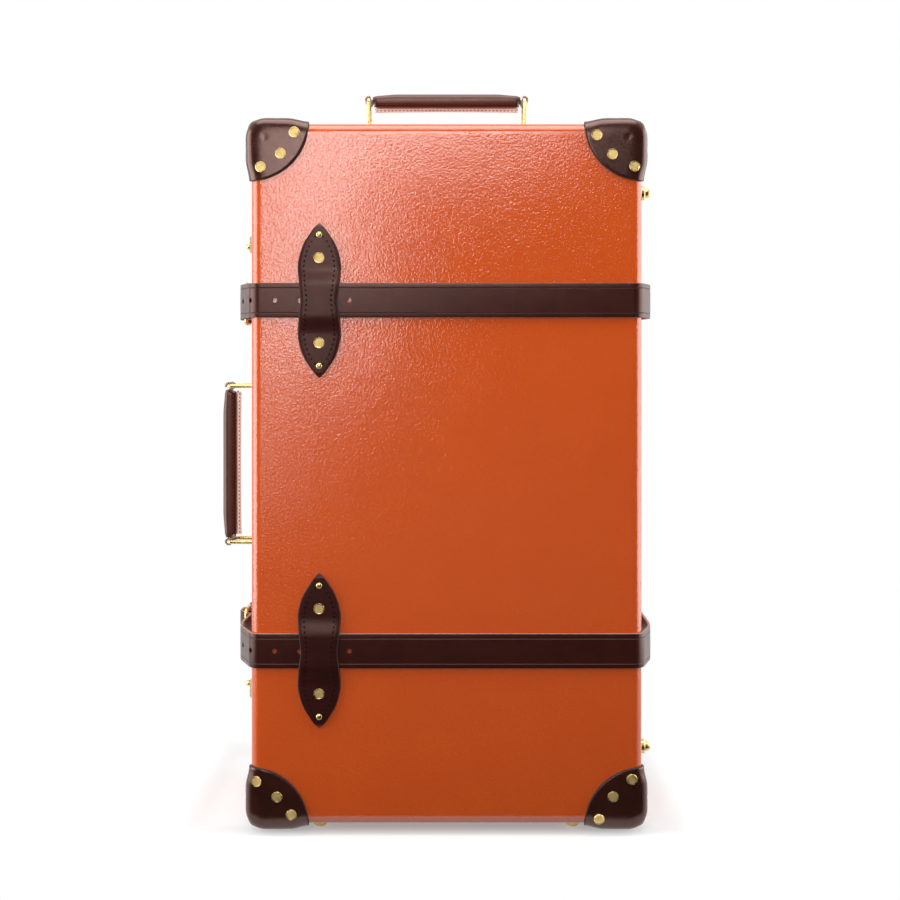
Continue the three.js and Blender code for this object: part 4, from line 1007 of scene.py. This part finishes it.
def tail_loop(level, z):
    """The small leather loop that holds the free end down."""
    inner = HALF.x + BACK_BOW
    outer = TAIL_REST + STRAP_THICKNESS / 2 + STRAP_CLEARANCE + LOOP_LEATHER / 2
    half_z = STRAP_WIDTH / 2 + STRAP_CLEARANCE + LOOP_LEATHER / 2
    path = rounded_outline((outer - inner) / 2, half_z, LOOP_BEND, LOOP_BEND_STEPS)
    middle = Vector((-(outer + inner) / 2, BUCKLE_BAR_Y + LOOP_SETBACK, z))
    section = [(high * LOOP_LEATHER / 2, wide * LOOP_WIDTH / 2) for high, wide in LOOP_SECTION]
    rings = []
    for i, (x, up) in enumerate(path):
        along = (Vector(path[(i + 1) % len(path)]) - Vector(path[i - 1])).normalized()
        out = Vector((along.y, 0, -along.x))
        rings.append([
            middle + Vector((x, across, up)) + out * height for height, across in section
        ])
    shape = Shape()
    shape.loft(rings, closed=True, columns=[1, 0, 0, 0, 0, 1, 0])
    shape.piece("tail_loop_" + level, "base", [STRAP_LEATHER, PALE_EDGE], "leather")


# Keepers

def keeper_half_width(share):
    """Half the keeper's width at a share of its half length, on a smooth line through its stations."""
    stations = KEEPER_STATION_SHARES
    widths = KEEPER_WIDTH_SHARES
    share = min(abs(share), 1)
    i = max(k for k in range(len(stations) - 1) if stations[k] <= share + 1e-9)
    before = widths[i - 1] if i > 0 else widths[1]
    after = widths[i + 2] if i + 2 < len(widths) else widths[-1] * 2 - widths[-2]
    t = (share - stations[i]) / (stations[i + 1] - stations[i])
    low, high = widths[i], widths[i + 1]
    cubic = 2 * low + (high - before) * t
    cubic += (2 * before - 5 * low + 4 * high - after) * t * t
    cubic += (3 * low - before - 3 * high + after) * t ** 3
    return max(cubic / 2, KEEPER_LEAST_WIDTH) * KEEPER_WIDTH / 2


def keeper_lift(up):
    """How far the keeper's underside stands off the body: it saddles over the strap."""
    level = STRAP_WIDTH / 2 + STRAP_CLEARANCE
    past = smoothstep((abs(up) - level + KEEPER_RAMP / 5) / KEEPER_RAMP)
    return FIT_GAP + (STRAP_THICKNESS + 2 * FIT_GAP) * (1 - past)


def keeper_place(side, z, x, up, height):
    """A point of a keeper, at a height in its leather's thickness above its underside."""
    lift = keeper_lift(up) + KEEPER_LEATHER * height
    return Vector((KEEPER_X + x, side * (HALF.y + lift), z + up))


def keeper(depth, level, side, z):
    rings = []
    for share in both_ways([math.sin(angle) for angle in quarter(KEEPER_STATIONS)]):
        up = share * KEEPER_LENGTH / 2
        half = keeper_half_width(share)
        thin = min(1, KEEPER_END_THICKNESS + (1 - abs(share)) * KEEPER_END_RISE)
        ring = [
            keeper_place(side, z, half * x, up, height * thin)
            for x, height in zip(KEEPER_ACROSS, KEEPER_HEIGHTS)
        ]
        rings.append(ring + [keeper_place(side, z, x, up, 0) for x in (half, -half)])
    columns = [1, 1] + [0] * 6 + [1, 1, 1, 0, 1]
    shape = Shape()
    shape.loft(rings, columns=columns, number=1)
    body = "lid" if side < 0 else "base"
    name = depth + "_keeper_" + level
    shape.piece(name + "_leather", body, [KEEPER_SKIN, DARK_EDGE], "leather", sharp=50, node=name)
    out = Vector((0, side, 0))
    rivets = Shape()
    for end in (-1, 1):
        add_rivet(rivets, keeper_place(side, z, 0, end * KEEPER_RIVET_PLACE, KEEPER_RIVET_HEIGHT), out)
        add_stud(rivets, keeper_place(side, z, 0, end * KEEPER_STUD_PLACE, KEEPER_RIVET_HEIGHT), out)
    rivets.piece(name + "_rivets", body, [BRASS, RIVET_BRASS], "brass")
    seam = Shape()
    keeper_stitches(seam, side, z, out)
    seam.piece(name + "_seam", body, [THREAD], "leather")


def keeper_stitches(shape, side, z, out):
    """A seam that follows the keeper's outline on both long edges, and round near its points."""
    count = round(2 * KEEPER_SEAM_END / KEEPER_STITCH_PITCH)
    for edge in (-1, 1):
        for i in range(count + 1):
            up = KEEPER_SEAM_END * (2 * i / count - 1)
            here = seam_x(up)
            if here < KEEPER_SEAM_LEAST_X:
                continue
            step = seam_x(up + MM) - seam_x(up - MM)
            rise = keeper_lift(up + MM) - keeper_lift(up - MM)
            along = Vector((edge * step, side * rise, 2 * MM))
            place = keeper_place(side, z, edge * here, up, KEEPER_SEAM_HEIGHT)
            add_stitch(shape, place, along, out, *KEEPER_STITCH)


def seam_x(up):
    """How far the seam lies from the keeper's middle line: square to the outline's slope there."""
    share = up / (KEEPER_LENGTH / 2)
    after = keeper_half_width(abs(share) + KEEPER_SEAM_PROBE)
    before = keeper_half_width(abs(share) - KEEPER_SEAM_PROBE)
    slope = (after - before) / (KEEPER_SEAM_PROBE * KEEPER_LENGTH)
    return keeper_half_width(share) - KEEPER_SEAM_INSET * math.sqrt(1 + slope * slope) * KEEPER_SEAM_FIT


# Handles and buckles

def wire_loop(node, wire, bend, body):
    """A round brass wire in the place of a packed loop, in the plane where that one is thin."""
    middle, half = node_box(node)
    thin = min(range(3), key=lambda i: half[i])
    first, second = [Vector([i == axis for i in range(3)]) for axis in range(3) if axis != thin]
    outline = rounded_outline(half.dot(first) - wire / 2, half.dot(second) - wire / 2, bend, WIRE_BEND_STEPS)
    path = [middle + first * a + second * b for a, b in outline]
    normal = first.cross(second)
    rings = []
    for i, point in enumerate(path):
        out = (path[(i + 1) % len(path)] - path[i - 1]).normalized().cross(normal)
        rings.append(ring_round(point, out * wire / 2, normal * wire / 2, WIRE_SIDES))
    shape = Shape()
    shape.loft(rings, closed=True)
    shape.piece(node + "_wire", body, [BRASS], "brass", sharp=60, node=node)


def grip_section(x, axes):
    """Across the grip body at a place along it: a padded form, flatter underneath."""
    middle, along, across, off = axes
    end = GRIP_SPAN / 2 - GRIP_CURL_RADIUS
    swell = smoothstep((end - abs(x)) / GRIP_EASE)
    crown = smoothstep((end - abs(x)) / GRIP_CROWN_EASE)
    above = GRIP_CURL_RADIUS + (GRIP_CROWN - GRIP_CURL_RADIUS) * (swell + 2 * crown) / 3
    below = GRIP_END_BELOW + (GRIP_BODY_BELOW - GRIP_END_BELOW) * swell
    half = (GRIP_END_WIDTH + (GRIP_WIDTH - GRIP_END_WIDTH) * swell) / 2
    ring = []
    for cosine, sine in circle(GRIP_SIDES):
        wide = math.copysign(abs(cosine) ** GRIP_ROUNDNESS_ACROSS, cosine) * half
        tall = abs(sine) ** GRIP_ROUNDNESS_UP
        high = tall * above if sine > 0 else -tall * below
        ring.append(middle + along * x + across * wide + off * high)
    return ring


def grip_cover(shape, axes):
    end = GRIP_SPAN / 2 - GRIP_CURL_RADIUS
    places = both_ways([end * math.sin(angle) for angle in quarter(GRIP_STATIONS)])
    shape.loft([grip_section(x, axes) for x in places])


def flange_low(share):
    """The flange's lower edge, slightly arched, at a share of half its length."""
    return -FLANGE_BELOW + FLANGE_ARCH * (1 - share * share)


def grip_flange(shape, axes):
    """The sewn lower edge of the grip: two layers of natural leather that stand out below it, coloured
    near-white as painted glare.
    """
    middle, along, across, off = axes
    end = GRIP_SPAN / 2 - GRIP_CURL_RADIUS - GRIP_EASE / 2
    half = FLANGE_THICKNESS / 2
    top = -GRIP_BODY_BELOW + FLANGE_TUCK
    rings = []
    for i in range(2 * FLANGE_STATIONS + 1):
        share = i / FLANGE_STATIONS - 1
        low = flange_low(share)
        section = mirrored([(half, top), (half, low + FLANGE_CHAMFER), (half * 0.6, low)], 0)
        centre = middle + along * (end * share)
        rings.append([centre + across * y + off * z for y, z in section])
    shape.loft(rings, number=1)


def grip_welt(shape, axes):
    """A thin turned edge where the grip's cover meets the flange, on both sides."""
    middle, along, across, off = axes
    end = GRIP_SPAN / 2 - GRIP_CURL_RADIUS - GRIP_EASE / 3
    for side in (-1, 1):
        line = middle + across * side * (GRIP_WIDTH / 2 - WELT_INSET) + off * (WELT_RISE - GRIP_BODY_BELOW)
        places = [end * (i / FLANGE_STATIONS - 1) for i in range(2 * FLANGE_STATIONS + 1)]
        shape.loft([
            ring_round(line + along * x, across * WELT_WIDE, off * WELT_THICK, WELT_SIDES) for x in places
        ], number=2)


def grip_curl(shape, axes, side):
    """The cover's end, curled round the bar with a little room left at its inner side."""
    middle, along, across, off = axes
    bar = middle + along * side * GRIP_SPAN / 2
    half = GRIP_END_WIDTH / 2
    inner = GRIP_CURL_RADIUS - GRIP_CURL_LEATHER
    outer = GRIP_CURL_RADIUS
    rings = []
    for i in range(GRIP_CURL_STEPS + 1):
        angle = math.radians(GRIP_CURL_START - GRIP_CURL_TURN * i / GRIP_CURL_STEPS)
        out = along * side * math.cos(angle) + off * math.sin(angle)
        corners = [(inner, -half), (outer, -half), (outer, half), (inner, half)]
        rings.append([bar + out * radius + across * wide for radius, wide in corners])
    shape.loft(rings, columns=[3, 0, 3, 0], number=3)


def grip_stitches(shape, axes):
    """Two seams on each side: through the flange, and along the cover's lower edge."""
    middle, along, across, off = axes
    end = GRIP_SPAN / 2 - GRIP_CURL_RADIUS - GRIP_EASE
    count = round(2 * end / GRIP_STITCH_PITCH)
    for i in range(count + 1):
        share = 2 * i / count - 1
        for side in (-1, 1):
            for out, up, stitch in (
                (FLANGE_THICKNESS / 2, flange_low(share) + FLANGE_STITCH_RISE, FLANGE_STITCH),
                (GRIP_WIDTH / 2 - BODY_STITCH_INSET, BODY_STITCH_RISE - GRIP_BODY_BELOW, BODY_STITCH),
            ):
                place = middle + along * (end * share) + across * side * out + off * up
                add_stitch(shape, place, along, across * side, *stitch)


def handle(place, ends, along, off):
    """A stitched grip on two wire loops. along is the way of its length, and off points off the case."""
    node = place + "_handle_grip"
    middle, half = node_box(node)
    middle += off * (abs(half.dot(off)) - GRIP_ABOVE)
    axes = (middle, along, Vector((0, 1, 0)), off)
    shape = Shape()
    grip_cover(shape, axes)
    grip_flange(shape, axes)
    grip_welt(shape, axes)
    for side in (-1, 1):
        grip_curl(shape, axes, side)
    materials = [GRIP_SKIN, PALE_LEATHER_WITH_GLARE, STRAP_LEATHER, PALE_EDGE]
    shape.piece(node + "_leather", place + "_grip", materials, "leather", sharp=50, node=node)
    seams = Shape()
    grip_stitches(seams, axes)
    seams.piece(node + "_seams", place + "_grip", [THREAD], "leather")
    for end in ends:
        wire_loop(f"{place}_handle_loop_{end}", HANDLE_WIRE, HANDLE_BEND, f"{place}_loop_{end}")
        rounded_copy(f"{place}_handle_mount_{end}", BRASS, 0.5 * MM)


# Small parts kept from the CAD model, with their edges rounded

def rounded_copy(node, material, width, segments=2, sharp=30):
    """A copy of a CAD node's solid with rounded edges, which stands for the node."""
    source = frame["nodes"][node]
    mesh = source.data.copy()
    mesh.materials.clear()
    mesh.materials.append(material)
    tidy_mesh(mesh, sharp, dissolve=True)
    piece = new_object(node + "_finish", mesh)
    bevel = piece.modifiers.new("rounded_edges", "BEVEL")
    bevel.width = width
    bevel.segments = segments
    bevel.limit_method = "ANGLE"
    bevel.angle_limit = math.radians(sharp + 2)
    bevel.harden_normals = True
    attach(piece, source["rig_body"])
    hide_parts(node)


# Feet and wheels

def foot(node, axis):
    """A domed brass foot on a turned flange. A side foot has a collar under a smaller dome."""
    middle, size = node_box(node)
    axis = Vector(axis)
    half = abs(size.dot(axis))
    flange = max(size)
    profile = [(0, 0), (flange, 0)]
    profile += [(flange, FOOT_FLANGE * FOOT_FLANGE_SIDE), (flange * FOOT_FLANGE_TOP, FOOT_FLANGE)]
    if node.startswith("side"):
        height = SIDE_FOOT_HEIGHT
        radius = SIDE_FOOT_RADIUS
        start = SIDE_COLLAR_HEIGHT
        profile += [(SIDE_COLLAR_RADIUS, FOOT_FLANGE), (SIDE_COLLAR_RADIUS, start - COLLAR_CHAMFER)]
        profile.append((SIDE_COLLAR_RADIUS - COLLAR_CHAMFER, start))
    else:
        height = 2 * half
        radius = flange * FOOT_DOME_SHARE
        start = FOOT_FLANGE + FOOT_STEP
        profile.append((radius, FOOT_FLANGE))
    flat = radius * FOOT_FLAT_SHARE
    for angle in quarter(FOOT_STEPS):
        profile.append((
            flat + (radius - flat) * math.cos(angle),
            start + (height * FOOT_ROUND_HEIGHT - start) * math.sin(angle),
        ))
    profile.append((0, height))
    shape = Shape()
    shape.turn(profile, middle - axis * half, axis, sides=FOOT_SIDES)
    body = frame["nodes"][node]["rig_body"]
    shape.piece(node + "_dome", body, [BRASS], "brass", sharp=30, node=node)


def wheel(hand):
    """A tyre with two grooves on a ribbed hub, in the place of the CAD wheel."""
    node = "wheel_" + hand
    middle, size = node_box(node)
    half = size.x
    outer = size.z
    hub = outer * HUB_SHARE
    sunk = outer - TYRE_GROOVE
    bore = WHEEL_BORE
    tyre = [
        (hub, -half * 0.82), (hub + 1.5 * MM, -half), (outer - 4 * MM, -half),
        (outer - 1.2 * MM, -half * 0.86), (outer, -half * 0.6), (outer, -half * 0.42),
        (sunk, -half * 0.36), (sunk, -half * 0.26), (outer, -half * 0.2),
    ]
    core = [
        (bore, -half), (bore + 2.5 * MM, -half), (bore + 4 * MM, -half * 0.75),
        (hub - 3 * MM, -half * 0.72), (hub - 1.5 * MM, -half * 0.86), (hub, -half * 0.86),
    ]
    shape = Shape()
    for number, profile in enumerate((tyre, core)):
        shape.loft([
            [middle + Vector((x, radius * cosine, radius * sine)) for radius, x in mirrored(profile, 1)]
            for cosine, sine in circle(WHEEL_SIDES)
        ], closed=True, number=number)
    shape.piece(node + "_tyred", node, [RUBBER, BLACK_PLASTIC], "rubber", sharp=30, node=node)


# Scene

def stage_floor():
    """A pale sheet under the case that fades into the white round it."""
    mesh = bpy.data.meshes.new("studio_floor")
    corners = [(-FLOOR_REACH, FLOOR_FRONT), (FLOOR_REACH, FLOOR_FRONT),
               (FLOOR_REACH, FLOOR_REACH), (-FLOOR_REACH, FLOOR_REACH)]
    mesh.from_pydata([(x, y, 0) for x, y in corners], [], [(0, 1, 2, 3)])
    surface = Surface("pale_floor", FLOOR_SHADE, 0.8, Specular_IOR_Level=0, Emission_Color=(1, 1, 1))
    place = surface.add("SeparateXYZ", {"Vector": surface.coordinates}).outputs
    front = surface.span(place["Y"], *FLOOR_FRONT_FADE, 1, 0)
    back = surface.span(place["Y"], *FLOOR_BACK_FADE)
    side = surface.span(surface.maths("ABSOLUTE", place["X"], 0), *FLOOR_SIDE_FADE)
    edge = surface.maths("MAXIMUM", surface.maths("MAXIMUM", front, back), side)
    glow = surface.span(edge, 0, 1, FLOOR_GLOW, 1)
    surface.set(
        Base_Color=surface.blend(edge, FLOOR_SHADE, (0, 0, 0)),
        Emission_Strength=surface.maths("MULTIPLY", surface.seen_rays(), glow),
    )
    mesh.materials.append(surface.material)
    new_object("studio_floor", mesh)


def area_light(name, place, size, power):
    data = bpy.data.lights.new(name, "AREA")
    data.shape = "RECTANGLE"
    data.size, data.size_y = size
    data.energy = power
    light = new_object(name, data)
    light.location = place
    light.rotation_euler = (LAMP_TARGET - Vector(place)).to_track_quat("-Z", "Y").to_euler()
    light.visible_camera = False
    return light


def room_light(nodes, depth, strength):
    """The studio's light by direction: dark where depth points behind the camera, full at the sides."""
    return nodes.span(depth, *DARK_SIDE, DARK_SIDE_LIGHT, strength)


def studio_world():
    """A white studio. For light and reflections its side behind the camera is dark."""
    world = bpy.data.worlds.new("studio")
    bpy.context.scene.world = world
    world.use_nodes = True
    world.node_tree.nodes.clear()
    nodes = Nodes(world.node_tree)
    way = nodes.add("TexCoord").outputs["Generated"]
    depth = nodes.add("SeparateXYZ", {"Vector": way}).outputs["Y"]
    camera_ray = nodes.add("LightPath").outputs["Is Camera Ray"]
    white = nodes.maths("MAXIMUM", camera_ray, room_light(nodes, depth, 1))
    light, shown = [
        nodes.add("Background", {"Color": colour}).outputs["Background"]
        for colour in (room_light(nodes, depth, ROOM_LIGHT), white)
    ]
    mix = nodes.add("MixShader", {"Fac": nodes.seen_rays(), 1: light, 2: shown})
    nodes.add("OutputWorld", {"Surface": mix.outputs["Shader"]})


def camera():
    data = bpy.data.cameras.new("camera")
    data.sensor_width = CAMERA_SENSOR_MM
    data.lens = CAMERA_LENS
    data.shift_x, data.shift_y = CAMERA_SHIFT
    data.clip_start, data.clip_end = CAMERA_CLIP
    view = new_object("camera", data)
    view.location = CAMERA_PLACE
    view.rotation_euler = (math.pi / 2, 0, 0)
    bpy.context.scene.camera = view


def studio():
    camera()
    stage_floor()
    studio_world()
    for lamp in SOFTBOXES:
        area_light(*lamp)
    area_light(*FILL).visible_glossy = False
    bpy.context.scene.view_settings.view_transform = "Standard"


# Assembly

def trays():
    tray("lid", -1, SPLIT_Y - FIT_GAP, [])
    tray("base", 1, SPLIT_Y, base_openings())
    lining("lid_lining", -1, -HALF.y + WALL + LID_LINING_LIFT, SPLIT_Y - LID_LINING_SETBACK, "lid")
    lining("base_lining", 1, LINING_PANEL_Y, SPLIT_Y + BASE_LINING_SETBACK, "base")
    rounded_copy("valance", BOARD, 0.5 * MM)


def corners():
    for depth, side_y in (("front", -1), ("rear", 1)):
        for level, side_z in (("top", 1), ("bottom", -1)):
            for hand, side_x in (("left", -1), ("right", 1)):
                leather_corner(f"{depth}_corner_{level}_{hand}", (side_x, side_y, side_z))


def straps():
    for level in ("upper", "lower"):
        z = node_box("strap_front_" + level)[0].z
        strap_front(level, z)
        strap_back(level, z)
        tail_loop(level, z)
        keeper("front", level, -1, z)
        keeper("rear", level, 1, z)
        wire_loop("buckle_frame_" + level, BUCKLE_WIRE, BUCKLE_BEND, "base")
        rounded_copy("buckle_prong_" + level, BRASS, 0.7 * MM, segments=3)


def handles():
    handle("top", ("left", "right"), along=Vector((1, 0, 0)), off=Vector((0, 0, 1)))
    handle("side", ("lower", "upper"), along=Vector((0, 0, 1)), off=Vector((-1, 0, 0)))


def feet():
    for hand in ("left", "right"):
        foot("bottom_foot_" + hand, (0, 0, -1))
    for depth in ("front", "rear"):
        for level in ("lower", "upper"):
            foot(f"side_foot_{depth}_{level}", (1, 0, 0))


def hardware():
    for level in ("lower", "upper"):
        for node in ("lock_body_", "lock_slide_", "hasp_plate_"):
            rounded_copy(node + level, BRASS, 0.4 * MM)
        rounded_copy("hasp_" + level, BRASS, 0.4 * MM, sharp=40)
        for node in ("hinge_leaf_base_", "hinge_leaf_lid_"):
            rounded_copy(node + level, BRASS, 0.3 * MM)
    for hand in ("left", "right"):
        rounded_copy("wheel_well_" + hand, BLACK_PLASTIC, 0.5 * MM)
        wheel(hand)
    rounded_copy("trolley_housing", ALUMINIUM, 0.4 * MM)
    rounded_copy("trolley_bow", BLACK_PLASTIC, 0.8 * MM, segments=3)
    rounded_copy("trolley_button", BRASS, 0.5 * MM)


studio()
trays()
corners()
straps()
handles()
feet()
hardware()
